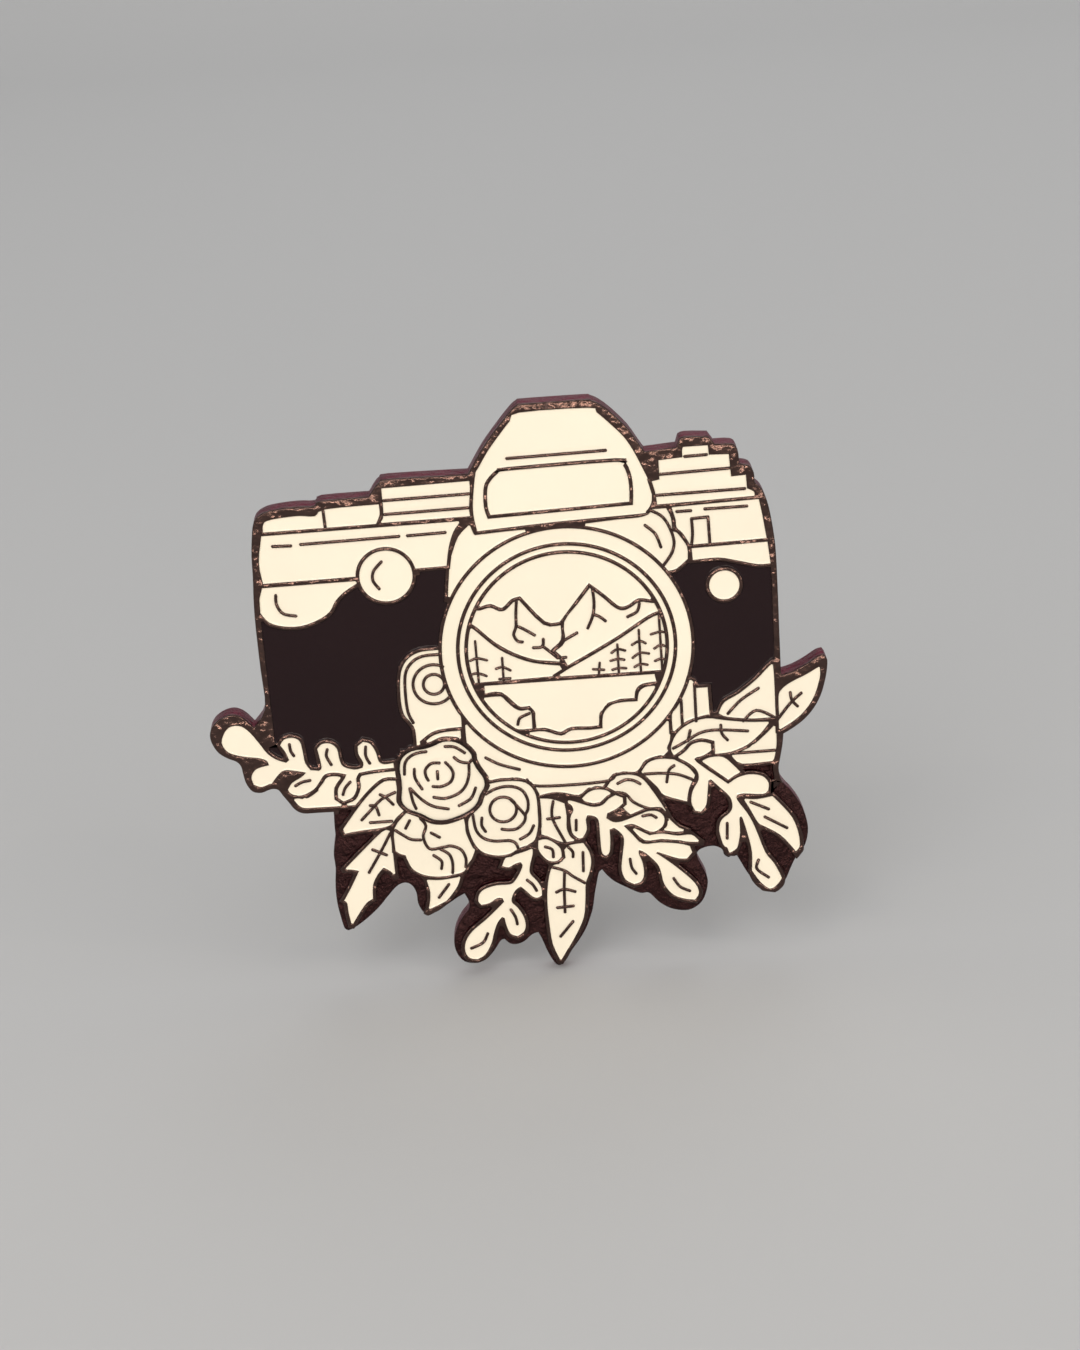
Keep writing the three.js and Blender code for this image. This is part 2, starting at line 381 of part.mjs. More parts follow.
    [-7.3, -20.9], [-6.3, -20.0], [-5.8, -19.5], [-5.9, -19.2], [-6.3, -19.15], [-6.9, -19.5],
    [-7.5, -19.6], [-7.7, -19.3], [-7.6, -18.8], [-7.2, -18.4], [-6.3, -18.15], [-5.3, -18.15],
    [-4.9, -17.9], [-4.5, -17.3], [-4.25, -16.7], [-4.4, -16.4], [-4.8, -16.5], [-5.3, -16.75],
  ])],
  ["pocket_bud_low", SKIN, outline([
    [-2.95, -14.8, 1], [-2.4, -14.75], [-1.8, -15.1], [-1.4, -15.6], [-1.35, -16.2], [-1.7, -16.5],
    [-2.3, -16.45], [-2.8, -15.9], [-3.0, -15.4],
  ])],
  ["enamel_leaf_hook", CREAM, outline([
    [-11.4, -17.3, 1], [-10.4, -17.4], [-9.5, -17.3], [-8.85, -17.1, 1], [-9.2, -18.0], [-9.9, -18.9],
    [-10.7, -19.5], [-11.5, -19.9, 1], [-11.3, -19.2], [-11.2, -18.3],
  ])],
  ["enamel_leaf_holly", CREAM, outline([
    [-14.4, -13.25, 1], [-13.85, -13.2, 1], [-13.75, -14.5], [-13.7, -16.8, 1], [-14.0, -16.4],
    [-14.5, -16.05], [-15.0, -16.6], [-15.4, -17.4], [-15.5, -18.5, 1], [-16.0, -18.8], [-16.6, -19.6],
    [-17.2, -20.5, 1], [-17.35, -19.5], [-17.4, -18.7, 1], [-17.6, -18.5, 1], [-17.0, -17.5],
    [-16.3, -16.2, 1], [-16.8, -16.05], [-17.35, -16.0, 1], [-16.3, -15.0], [-15.1, -13.9],
  ])],
  ["enamel_leaf_upper_left", CREAM, outline([
    [-12.6, -11.6, 1], [-13.0, -11.0], [-13.1, -9.3], [-13.9, -9.3], [-14.8, -9.95], [-15.8, -11.0],
    [-17.2, -12.8], [-17.1, -13.15, 1], [-16.0, -13.0], [-14.5, -12.9], [-13.7, -12.7, 1],
    [-13.3, -12.2],
  ])],
  ["enamel_petals_left", CREAM, outline([
    [-12.5, -11.9, 1], [-12.0, -12.1], [-8.35, -12.6, 1], [-8.2, -13.9], [-7.8, -14.9], [-7.7, -15.2, 1],
    [-8.0, -15.9], [-8.25, -16.2], [-8.6, -16.8], [-9.3, -17.0], [-10.4, -17.1], [-11.5, -16.9],
    [-12.3, -16.4], [-12.65, -15.7], [-12.8, -15.2], [-13.2, -15.05], [-13.5, -14.8, 1],
    [-13.45, -13.05, 1], [-13.0, -12.5],
  ])],
  ["enamel_branch_left", CREAM, outline([
    [-25.4, -5.4], [-25.1, -4.6], [-24.6, -4.2], [-23.9, -4.25], [-23.3, -4.8], [-22.7, -5.7],
    [-22.2, -6.5], [-21.6, -7.0], [-20.9, -7.3], [-20.65, -7.1], [-20.9, -6.4], [-21.2, -5.9],
    [-20.9, -5.5], [-20.3, -5.4], [-19.8, -5.7], [-19.65, -6.5], [-19.55, -7.4], [-19.2, -8.0],
    [-18.6, -8.1], [-18.35, -7.8], [-18.45, -7.1], [-18.55, -6.4], [-18.2, -6.05], [-17.6, -6.05],
    [-17.15, -6.5], [-17.05, -7.3], [-16.8, -7.9], [-16.0, -8.2], [-15.4, -8.1], [-15.3, -7.7],
    [-15.6, -7.0], [-15.6, -6.4], [-15.2, -6.1], [-14.7, -6.3], [-14.35, -7.0], [-14.2, -7.7],
    [-13.8, -7.95], [-13.15, -7.9, 1], [-13.15, -8.25, 1], [-14.5, -8.3], [-15.7, -8.45], [-15.95, -8.9],
    [-15.95, -9.6], [-16.3, -10.3], [-17.0, -10.6], [-17.35, -10.3], [-17.3, -9.6], [-16.8, -8.9],
    [-16.6, -8.5], [-17.5, -8.3], [-18.2, -8.4], [-18.6, -8.9], [-19.1, -9.5], [-20.0, -9.9],
    [-20.7, -9.75], [-20.95, -9.4], [-20.6, -8.9], [-19.9, -8.5], [-19.5, -8.15], [-20.3, -7.95],
    [-21.1, -7.85], [-21.6, -8.2], [-22.1, -8.8], [-22.8, -9.05], [-23.4, -8.8], [-23.5, -8.2],
    [-23.2, -7.7], [-22.7, -7.5], [-22.15, -7.4], [-22.3, -7.0], [-22.9, -6.75], [-24.0, -6.55],
    [-25.0, -6.15],
  ])],
  ["pocket_leaf_behind_rose", SKIN, outline([
    [-10.8, -6.5, 1], [-10.1, -6.0], [-9.3, -5.8], [-8.1, -5.75, 1], [-8.1, -7.0, 1], [-10.0, -7.0, 1],
  ])],
  ["enamel_rose_small", CREAM, outline([
    [-6.5, -10.1, 1], [-5.4, -9.95], [-4.2, -10.0], [-3.4, -10.35], [-2.95, -11.2], [-2.9, -12.6],
    [-2.95, -13.7], [-3.25, -14.7], [-3.8, -15.1], [-4.5, -15.3], [-5.1, -15.65], [-6.0, -15.75],
    [-7.0, -15.45], [-7.6, -14.8], [-7.95, -13.8], [-8.0, -12.9], [-7.75, -12.4, 1], [-7.0, -11.4],
    [-6.7, -10.7],
  ])],
  ["enamel_rose_large", CREAM, outline([
    [-12.8, -8.3], [-12.55, -7.5], [-11.8, -6.98], [-10.8, -6.85], [-10.2, -6.7], [-9.4, -6.4],
    [-8.5, -6.5], [-7.8, -7.0], [-7.35, -7.6], [-7.3, -8.1], [-7.0, -8.8], [-6.6, -9.5], [-6.55, -10.2],
    [-6.95, -10.9], [-7.2, -11.5], [-7.7, -12.0], [-8.5, -12.4], [-9.6, -12.7], [-10.6, -12.6],
    [-11.4, -12.1], [-12.0, -11.8], [-12.4, -11.6], [-12.85, -10.9], [-12.75, -9.9], [-12.75, -9.2],
  ])],
];

// ---- Plate and enamel ----

const floor = PLATE_THICK - POCKET_DEEP;
const silhouette = region(outline(SILHOUETTE));
const insideRim = grow(silhouette, -RIM);
const view = region(circle(0, 0, LENS_VIEW_RADIUS, 56));

const drawn = fills.map(([, , points, clip]) => {
  const flat = region(points);
  return clip === "view" ? flat.intersect(view) : flat;
});

/** What is left of a fill once the rim and every fill in front have cut it, the largest part first. */
function visibleFill(index) {
  const [name] = fills[index];
  let fill = drawn[index].intersect(insideRim);
  for (const front of drawn.slice(index + 1)) fill = fill.subtract(grow(front, LINE));
  // Open and close again by a thin amount, so that no whisker thinner than the enamel can fill is left.
  fill = grow(grow(fill, -THINNEST_FILL / 2), THINNEST_FILL / 2);
  const pieces = fill.decompose().sort((a, b) => b.area() - a.area());
  if (!pieces.length || pieces[0].area() < SMALLEST_FILL) throw new Error(name + " has no room left");
  return pieces.filter((piece) => piece.area() >= SMALLEST_FILL);
}

const pin = new THREE.Group();
const artwork = new THREE.Group();
artwork.rotation.x = Math.PI / 2; // the plate's plane stands upright, front towards -Y
pin.add(artwork);

function addPiece(parent, name, geometry, material) {
  const mesh = new THREE.Mesh(geometry, material);
  mesh.name = name;
  parent.add(mesh);
  return mesh;
}

/** The bare ground between the leaves: all that lies more than one line away from every fill. */
function struckGround() {
  const FAR = 40;
  const NARROWEST = 0.3;
  const under = (z) =>
    region(outline([[-FAR, -FAR, 1], [FAR, -FAR, 1], [FAR, z, 1], [-FAR, z, 1]]));
  let ground = insideRim.intersect(under(GROUND_BELOW_Z));
  ground = ground.add(grow(silhouette, 1).intersect(under(RIMLESS_BELOW_Z)));
  for (const fill of drawn) ground = ground.subtract(grow(fill, LINE));
  ground = grow(grow(ground, -NARROWEST / 2), NARROWEST / 2);
  return ground.decompose().filter((part) => part.area() > 2 * SMALLEST_FILL);
}

let plate = slab(silhouette, 0, PLATE_THICK);
const ground = PLATE_THICK - GROUND_DEEP;
for (const part of struckGround()) plate = plate.subtract(slab(part, ground, PLATE_THICK + 1));
fills.forEach(([name, material], index) => {
  const pockets = visibleFill(index);
  for (const pocket of pockets) plate = plate.subtract(slab(pocket, floor, PLATE_THICK + 1));
  if (material === SKIN) return;
  const piece = slab(grow(pockets[0], -ENAMEL_GAP), floor + ENAMEL_GAP, PLATE_THICK - ENAMEL_BELOW);
  addPiece(artwork, name, geometryOf(piece), material);
});
addPiece(artwork, "base_plate", geometryOf(plate), DARK_NICKEL);

// ---- Posts ----

const LATHE_SIDES = 16;
const CUP_SIDES = 32;
const lathe = (profile, sides) =>
  new THREE.LatheGeometry(profile.map(([r, y]) => new THREE.Vector2(r, y)), sides);

function postGeometry() {
  const notch = POST_LONG - POST_NOTCH_FROM_TIP;
  const head = SOLDER_GAP + POST_HEAD_THICK;
  return lathe([
    [0, SOLDER_GAP],
    [POST_HEAD_RADIUS, SOLDER_GAP],
    [POST_HEAD_RADIUS - 0.1, head],
    [POST_RADIUS + 0.25, head + 0.08],
    [POST_RADIUS, head + 0.35],
    [POST_RADIUS, notch - 0.25],
    [POST_RADIUS - POST_NOTCH, notch],
    [POST_RADIUS, notch + 0.25],
    [POST_RADIUS, POST_LONG - POST_TIP],
    [POST_RADIUS * 0.45, POST_LONG - 0.25],
    [0, POST_LONG],
  ], LATHE_SIDES);
}

// ---- Butterfly clutch ----

const cupFloor = CLUTCH_AT + CUP_SHEET;
const springLow = cupFloor + SPRING_GAP;
const springHigh = springLow + SPRING_SHEET;
const wingLow = springHigh + WING_LIFT;
const lipLow = CLUTCH_AT + CUP_DEEP - CUP_SHEET;

function cupGeometry() {
  const bore = CUP_HOLE;
  return lathe([
    [bore, CLUTCH_AT],
    [CUP_RADIUS - 0.35, CLUTCH_AT],
    [CUP_RADIUS - 0.08, CLUTCH_AT + 0.12],
    [CUP_RADIUS, CLUTCH_AT + 0.4],
    [CUP_RADIUS, CLUTCH_AT + CUP_DEEP - 0.35],
    [CUP_RADIUS - 0.15, CLUTCH_AT + CUP_DEEP - 0.08],
    [CUP_RADIUS - 0.4, CLUTCH_AT + CUP_DEEP],
    [CUP_RADIUS - CUP_LIP, CLUTCH_AT + CUP_DEEP - 0.12],
    [CUP_RADIUS - CUP_LIP, lipLow],
    [CUP_RADIUS - CUP_SHEET, lipLow],
    [CUP_RADIUS - CUP_SHEET, cupFloor],
    [bore, cupFloor],
    [bore, CLUTCH_AT],
  ], CUP_SIDES);
}

/** A flat strip across the cup with round ends, held under the lip, with the post's hole through it. */
function springGeometry() {
  const half = CUP_RADIUS - CUP_SHEET - SPRING_GAP;
  const ends = circleArc(half, SPRING_WIDE / 2);
  const strip = slab(region(ends), springLow, springHigh);
  const hole = slab(region(plainCircle(CUP_HOLE, LATHE_SIDES)), springLow - 1, springHigh + 1);
  return strip.subtract(hole);
}

const plainCircle = (radius, sides) =>
  Array.from({ length: sides }, (_, i) => {
    const turn = (2 * Math.PI * i) / sides;
    return new THREE.Vector2(radius * Math.cos(turn), radius * Math.sin(turn));
  });

/** The part of a disc between two lines, each half a width from its middle. */
function circleArc(radius, halfWidth) {
  const STEPS = 6;
  const edge = Math.asin(halfWidth / radius);
  const side = (start) =>
    Array.from({ length: STEPS + 1 }, (_, i) => {
      const turn = start - edge + (2 * edge * i) / STEPS;
      return new THREE.Vector2(radius * Math.cos(turn), radius * Math.sin(turn));
    });
  return [...side(0), ...side(Math.PI)];
}

/** One wing: a bent strip whose inner end is a jaw at the post and whose outer end is a flared finger tab. */
function wingSolid() {
  const jaw = POST_RADIUS + WING_JAW_GAP;
  const middle = [
    [jaw, 0], [WING_HINGE_Z - 0.25, 0], [WING_HINGE_Z + 0.1, 0.15], [WING_HINGE_Z + 0.2, 0.6],
    [WING_HINGE_Z + 0.05, WING_HIGH * 0.35], [WING_HINGE_Z + 0.15, WING_HIGH * 0.6],
    [WING_HINGE_Z + 0.7, WING_HIGH * 0.85], [WING_HINGE_Z + 1.35, WING_HIGH],
  ].map(([z, y]) => new THREE.Vector2(z, y));
  const side = (sign) =>
    middle.map((p, i) => {
      const a = middle[Math.max(i - 1, 0)];
      const b = middle[Math.min(i + 1, middle.length - 1)];
      const along = b.clone().sub(a).normalize();
      const half = (sign * WING_SHEET) / 2;
      return new THREE.Vector2(p.x - along.y * half, p.y + along.x * half);
    });
  const profile = [...side(-1), ...side(1).reverse()];
  const shape = profile.map((p) => new THREE.Vector2(p.x, p.y + WING_SHEET / 2 + wingLow));
  const wide = solid(
    new THREE.ExtrudeGeometry(new THREE.Shape(shape), { depth: WING_WIDE, bevelEnabled: false, steps: 1 }),
  );
  // The profile's x becomes the clutch's z, its y stays y, and its depth becomes the clutch's x.
  const bent = wide.translate([0, 0, -WING_WIDE / 2]).rotate([0, -90, 0]);
  return bent.intersect(wingMask());
}

/** Seen along the post's side: narrow at the jaw, full width at the tab, with round corners at the top. */
function wingMask() {
  const half = WING_WIDE / 2;
  const top = wingLow + WING_HIGH + WING_SHEET;
  const round = 1.6;
  const waist = half * 0.62;
  const face = outline([
    [-waist, wingLow - 0.1, 1], [waist, wingLow - 0.1, 1], [waist, wingLow + 0.9], [half, wingLow + 2.4],
    [half, top - round], [half - round * 0.3, top - round * 0.3], [half - round, top],
    [-half + round, top], [-half + round * 0.3, top - round * 0.3], [-half, top - round],
    [-half, wingLow + 2.4], [-waist, wingLow + 0.9],
  ], 2).map((p) => p.divideScalar(ART_SCALE));
  const DEEP = 12;
  return solid(
    new THREE.ExtrudeGeometry(new THREE.Shape(face), { depth: DEEP, bevelEnabled: false, steps: 1 }),
  ).translate([0, 0, -DEEP / 2]);
}

["left", "right"].forEach((side, i) => {
  const place = new THREE.Group();
  place.position.set(POST_X[i] * ART_SCALE, 0, POST_Z * ART_SCALE);
  pin.add(place);
  addPiece(place, `post_${side}`, geometryOf(solid(postGeometry())), STEEL);
  addPiece(place, `clutch_cup_${side}`, geometryOf(solid(cupGeometry())), BRIGHT_NICKEL);
  const spring = addPiece(place, `clutch_spring_${side}`, geometryOf(springGeometry()), BRIGHT_NICKEL);
  spring.geometry.applyMatrix4(new THREE.Matrix4().set(1, 0, 0, 0, 0, 0, 1, 0, 0, -1, 0, 0, 0, 0, 0, 1));
  const upper = addPiece(place, `clutch_wing_upper_${side}`, geometryOf(wingSolid()), BRIGHT_NICKEL);
  const lower = addPiece(place, `clutch_wing_lower_${side}`, upper.geometry.clone(), BRIGHT_NICKEL);
  lower.rotation.y = Math.PI;
});

export default pin;
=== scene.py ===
"""A soft-enamel lapel pin: an SLR camera with a mountain lake in its lens, over roses and leaves.

The picture faces -Y, +X is the viewer's right and +Z is up. Sizes are in metres unless a name ends in _MM.
"""

import math

import bmesh
import bpy
import numpy as np
from mathutils import Matrix, Vector


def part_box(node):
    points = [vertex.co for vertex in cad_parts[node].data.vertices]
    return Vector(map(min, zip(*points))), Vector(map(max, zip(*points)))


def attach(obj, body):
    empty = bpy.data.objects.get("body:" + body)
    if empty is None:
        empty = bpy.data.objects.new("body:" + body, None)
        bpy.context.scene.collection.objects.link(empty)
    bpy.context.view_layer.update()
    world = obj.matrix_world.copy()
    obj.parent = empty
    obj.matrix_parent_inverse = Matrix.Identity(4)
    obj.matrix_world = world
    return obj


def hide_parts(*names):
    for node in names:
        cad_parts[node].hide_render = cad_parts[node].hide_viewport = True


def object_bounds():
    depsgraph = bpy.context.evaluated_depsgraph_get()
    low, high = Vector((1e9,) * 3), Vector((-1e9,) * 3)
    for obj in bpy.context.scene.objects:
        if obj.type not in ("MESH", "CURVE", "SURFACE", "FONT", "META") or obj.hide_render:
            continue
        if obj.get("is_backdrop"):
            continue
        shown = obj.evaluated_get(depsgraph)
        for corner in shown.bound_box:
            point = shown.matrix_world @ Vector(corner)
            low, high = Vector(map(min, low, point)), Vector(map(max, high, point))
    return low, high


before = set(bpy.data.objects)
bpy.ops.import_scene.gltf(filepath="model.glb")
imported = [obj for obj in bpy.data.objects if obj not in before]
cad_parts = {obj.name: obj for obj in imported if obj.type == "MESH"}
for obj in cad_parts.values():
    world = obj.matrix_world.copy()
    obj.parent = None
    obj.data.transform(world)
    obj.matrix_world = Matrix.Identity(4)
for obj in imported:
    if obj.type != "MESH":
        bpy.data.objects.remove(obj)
cad_low, cad_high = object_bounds()
MM = 0.001

# ---- Shapes that several pieces use ----


def level_regions(node, y_mm):
    """The flat regions of a CAD node that face -Y at one height, in millimetres.

    Faces at y = y_mm are gathered by the edges they share. Each region is a list of closed loops
    [(x, z), ...], found by following the edges that only one of its faces uses, the outer loop first.
    """
    bm = bmesh.new()
    bm.from_mesh(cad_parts[node].data)
    bmesh.ops.remove_doubles(bm, verts=bm.verts, dist=2e-6)
    bm.normal_update()
    level = {f for f in bm.faces if abs(f.calc_center_median().y / MM - y_mm) < 0.01 and abs(f.normal.y) > 0.99}
    regions = []
    while level:
        stack = [level.pop()]
        region = set(stack)
        while stack:
            for edge in stack.pop().edges:
                for other in edge.link_faces:
                    if other in level:
                        level.remove(other)
                        region.add(other)
                        stack.append(other)
        follow = {}
        for face in region:
            for corner in face.loops:
                if sum(other in region for other in corner.edge.link_faces) == 1:
                    follow.setdefault(corner.vert.index, []).append(corner.link_loop_next.vert)
        bm.verts.ensure_lookup_table()
        loops = []
        while follow:
            start = next(iter(follow))
            loop = []
            at = start
            while at in follow:
                after = follow[at].pop()
                if not follow[at]:
                    del follow[at]
                loop.append((after.co.x / MM, after.co.z / MM))
                at = after.index
            if len(loop) > 2:
                loops.append(np.array(loop))
        loops.sort(key=lambda loop: -abs(area(loop)))
        regions.append(loops)
    bm.free()
    return regions


def area(loop):
    """Signed area of a closed loop: half the sum of x_i z_(i+1) - x_(i+1) z_i."""
    x, z = loop[:, 0], loop[:, 1]
    return 0.5 * float(np.sum(x * np.roll(z, -1) - np.roll(x, -1) * z))


def tidy(loop, nearest=0.03):
    """The loop without points nearer than a distance to the one before, and without spikes that double back."""
    while True:
        ahead = np.roll(loop, -1, 0) - loop
        behind = np.roll(ahead, 1, 0)
        turn = np.abs(np.degrees(np.arctan2(
            behind[:, 0] * ahead[:, 1] - behind[:, 1] * ahead[:, 0], np.sum(behind * ahead, 1))))
        bad = (np.linalg.norm(behind, axis=1) < nearest) | (turn > 130)
        if not bad.any() or len(loop) < 5:
            return loop
        loop = np.delete(loop, int(np.argmax(bad)), 0)


def smooth(loop, steps=3, sharp=50):
    """A closed loop with points added on a Catmull-Rom curve through its own points.

    p(t) = 0.5 (2 p1 + (p2 - p0) t + (2 p0 - 5 p1 + 4 p2 - p3) t^2 + (3 p1 - p0 - 3 p2 + p3) t^3).
    A point that turns by more than `sharp` degrees stays a corner: the curve ends there and starts again.
    """
    loop = tidy(loop)
    count = len(loop)
    ahead = np.roll(loop, -1, 0) - loop
    behind = np.roll(ahead, 1, 0)
    turn = np.abs(np.degrees(np.arctan2(
        behind[:, 0] * ahead[:, 1] - behind[:, 1] * ahead[:, 0], np.sum(behind * ahead, 1))))
    corner = turn > sharp
    result = []
    for i in range(count):
        p1, p2 = loop[i], loop[(i + 1) % count]
        p0 = p1 if corner[i] else loop[i - 1]
        p3 = p2 if corner[(i + 1) % count] else loop[(i + 2) % count]
        parts = steps if np.linalg.norm(p2 - p1) > 0.12 and not (corner[i] and corner[(i + 1) % count]) else 1
        for t in np.arange(parts) / parts:
            result.append(0.5 * (2 * p1 + (p2 - p0) * t + (2 * p0 - 5 * p1 + 4 * p2 - p3) * t**2
                                 + (3 * p1 - p0 - 3 * p2 + p3) * t**3))
    return tidy(np.array(result), 0.012)


def mesh_object(name, points, faces, materials):
    """A smooth-shaded object at the origin from points in metres. Faces hold indices into the points."""
    mesh = bpy.data.meshes.new(name)
    mesh.from_pydata([tuple(p) for p in points], [], faces)
    mesh.validate()
    mesh.update()
    for material in materials:
        mesh.materials.append(material)
    mesh.polygons.foreach_set("use_smooth", np.ones(len(mesh.polygons), bool))
    piece = bpy.data.objects.new(name, mesh)
    bpy.context.scene.collection.objects.link(piece)
    return piece


def sheet(loops, back_mm, front_mm, edge_mm):
    """A flat plate with holes between two heights, its edges rolled to a radius of edge_mm.

    The loops are the widest outline. Each edge is a quarter circle that moves in by
    edge_mm (1 - cos a) and up by edge_mm sin a, for a from 0 to 90 degrees. Returns points and faces.
    """
    curve = bpy.data.curves.new("outline", "CURVE")
    curve.dimensions = "2D"
    curve.fill_mode = "BOTH"
    curve.extrude = ((front_mm - back_mm) / 2 - edge_mm) * MM
    curve.bevel_depth = edge_mm * MM
    curve.bevel_resolution = 2
    curve.offset = -edge_mm * MM
    for loop in loops:
        spline = curve.splines.new("POLY")
        spline.points.add(len(loop) - 1)
        spline.use_cyclic_u = True
        for point, (x, z) in zip(spline.points, loop):
            point.co = (x * MM, z * MM, 0, 1)
    holder = bpy.data.objects.new("outline", curve)
    mesh = bpy.data.meshes.new_from_object(holder)
    middle = (front_mm + back_mm) / 2 * MM
    points = [(v.co.x, -(v.co.z + middle), v.co.y) for v in mesh.vertices]
    faces = [tuple(p.vertices) for p in mesh.polygons]
    bpy.data.objects.remove(holder)
    bpy.data.curves.remove(curve)
    bpy.data.meshes.remove(mesh)
    return points, faces


def ridge(line, width_mm, foot_mm, top_mm, closed=False):
    """A raised line with a round top and round ends along [(x, z), ...].

    Across the line at s from -1 to 1 the height is top - 0.35 (width / 2) (1 - sqrt(1 - s^2)),
    with upright sides below it. Past each end the width and height shrink as cos a while the line
    runs on by (width / 2) sin a, for a from 0 to 80 degrees.
    """
    line = np.array(line, float)
    if closed:
        line = smooth(line, 4, 180)
    else:
        count = len(line)
        rows = []
        for i in range(count - 1):
            p0, p1, p2, p3 = line[max(i - 1, 0)], line[i], line[i + 1], line[min(i + 2, count - 1)]
            for t in np.arange(5) / 5:
                rows.append(0.5 * (2 * p1 + (p2 - p0) * t + (2 * p0 - 5 * p1 + 4 * p2 - p3) * t**2
                                   + (3 * p1 - p0 - 3 * p2 + p3) * t**3))
        line = np.array(rows + [line[-1]])
    half = width_mm / 2
    if closed:
        along = np.roll(line, -1, 0) - np.roll(line, 1, 0)
        scale = np.ones(len(line))
    else:
        along = np.gradient(line, axis=0)
        start, end = along[0] / np.linalg.norm(along[0]), along[-1] / np.linalg.norm(along[-1])
        angles = np.radians([80, 60, 40, 20])
        lead = np.array([line[0] - start * half * math.sin(a) for a in angles])
        tail = np.array([line[-1] + end * half * math.sin(a) for a in angles[::-1]])
        scale = np.concatenate([np.cos(angles), np.ones(len(line)), np.cos(angles[::-1])])
        line = np.concatenate([lead, line, tail])
        along = np.gradient(line, axis=0)
    along /= np.linalg.norm(along, axis=1)[:, None]
    side = np.stack([-along[:, 1], along[:, 0]], 1)
    across = np.array([-1, -1, -0.92, -0.7, -0.35, 0, 0.35, 0.7, 0.92, 1, 1])
    round_top = 0.5 * half * (1 - np.sqrt(1 - np.minimum(np.abs(across), 0.995) ** 2))
    points = []
    for p, n, k in zip(line, side, scale):
        for j, s in enumerate(across):
            foot = j in (0, len(across) - 1)
            high = foot_mm if foot else foot_mm + (top_mm - round_top[j] - foot_mm) * (0.75 + 0.25 * k)
            points.append(((p[0] + n[0] * s * half * k) * MM, -high * MM, (p[1] + n[1] * s * half * k) * MM))
    wide = len(across)
    faces = []
    rows = len(line)
    for i in range(rows if closed else rows - 1):
        for j in range(wide - 1):
            a, b = i * wide + j, ((i + 1) % rows) * wide + j
            faces.append((a, b, b + 1, a + 1))
    if not closed:
        faces.append(tuple(range(wide)))
        faces.append(tuple(reversed(range((rows - 1) * wide, rows * wide))))
    return points, faces


def join(parts):
    """Several (points, faces) as one."""
    points, faces = [], []
    for some_points, some_faces in parts:
        base = len(points)
        points.extend(some_points)
        faces.extend(tuple(base + i for i in face) for face in some_faces)
    return points, faces


def lathe(profile, x_mm, z_mm, sides=96):
    """A closed profile [(radius, y), ...] turned about the line along Y through (x, z).

    The point at angle a is (x + r cos a, y, z + r sin a).
    """
    points, faces = [], []
    for r, y in profile:
        for a in 2 * np.pi * np.arange(sides) / sides:
            points.append(((x_mm + r * math.cos(a)) * MM, y * MM, (z_mm + r * math.sin(a)) * MM))
    for i in range(len(profile) - 1):
        for j in range(sides):
            k = (j + 1) % sides
            faces.append((i * sides + j, i * sides + k, (i + 1) * sides + k, (i + 1) * sides + j))
    return points, faces


def outward(piece):
    """Turns the piece's faces outward."""
    bm = bmesh.new()
    bm.from_mesh(piece.data)
    bmesh.ops.remove_doubles(bm, verts=bm.verts, dist=1e-7)
    bmesh.ops.recalc_face_normals(bm, faces=bm.faces)
    bm.to_mesh(piece.data)
    bm.free()
    return piece


# ---- Materials ----


def mottle_group():
    """A node group with small changes of colour and height, from two sizes of noise on Object coordinates.

    Colour out is Colour times 1 + Amount (noise - 0.5). Normal out is bumped by the finer noise.
    """
    group = bpy.data.node_groups.new("Mottle", "ShaderNodeTree")
    face = group.interface
    for name, kind, value in (
        ("Color", "NodeSocketColor", (1, 1, 1, 1)),
        ("Amount", "NodeSocketFloat", 0.1),
        ("Patch Scale", "NodeSocketFloat", 300.0),
        ("Grain Scale", "NodeSocketFloat", 3000.0),
        ("Grain Height", "NodeSocketFloat", 0.1),
    ):
        face.new_socket(name, in_out="INPUT", socket_type=kind).default_value = value
    face.new_socket("Color", in_out="OUTPUT", socket_type="NodeSocketColor")
    face.new_socket("Patch", in_out="OUTPUT", socket_type="NodeSocketFloat")
    face.new_socket("Normal", in_out="OUTPUT", socket_type="NodeSocketVector")
    nodes, links = group.nodes, group.links
    given = nodes.new("NodeGroupInput")
    result = nodes.new("NodeGroupOutput")
    coords = nodes.new("ShaderNodeTexCoord")
    patch = nodes.new("ShaderNodeTexNoise")
    grain = nodes.new("ShaderNodeTexNoise")
    for noise, scale in ((patch, "Patch Scale"), (grain, "Grain Scale")):
        noise.inputs["Detail"].default_value = 3
        links.new(coords.outputs["Object"], noise.inputs["Vector"])
        links.new(given.outputs[scale], noise.inputs["Scale"])
    centred = nodes.new("ShaderNodeMath")
    centred.operation = "SUBTRACT"
    centred.inputs[1].default_value = 0.5
    links.new(patch.outputs["Fac"], centred.inputs[0])
    gain = nodes.new("ShaderNodeMath")
    gain.operation = "MULTIPLY_ADD"
    gain.inputs[2].default_value = 1
    links.new(centred.outputs[0], gain.inputs[0])
    links.new(given.outputs["Amount"], gain.inputs[1])
    tint = nodes.new("ShaderNodeVectorMath")
    tint.operation = "SCALE"
    links.new(given.outputs["Color"], tint.inputs[0])
    links.new(gain.outputs[0], tint.inputs["Scale"])
    bump = nodes.new("ShaderNodeBump")
    bump.inputs["Distance"].default_value = 0.00004
    links.new(given.outputs["Grain Height"], bump.inputs["Strength"])
    links.new(grain.outputs["Fac"], bump.inputs["Height"])
    links.new(tint.outputs[0], result.inputs["Color"])
    links.new(patch.outputs["Fac"], result.inputs["Patch"])
    links.new(bump.outputs["Normal"], result.inputs["Normal"])
    return group


MOTTLE = mottle_group()


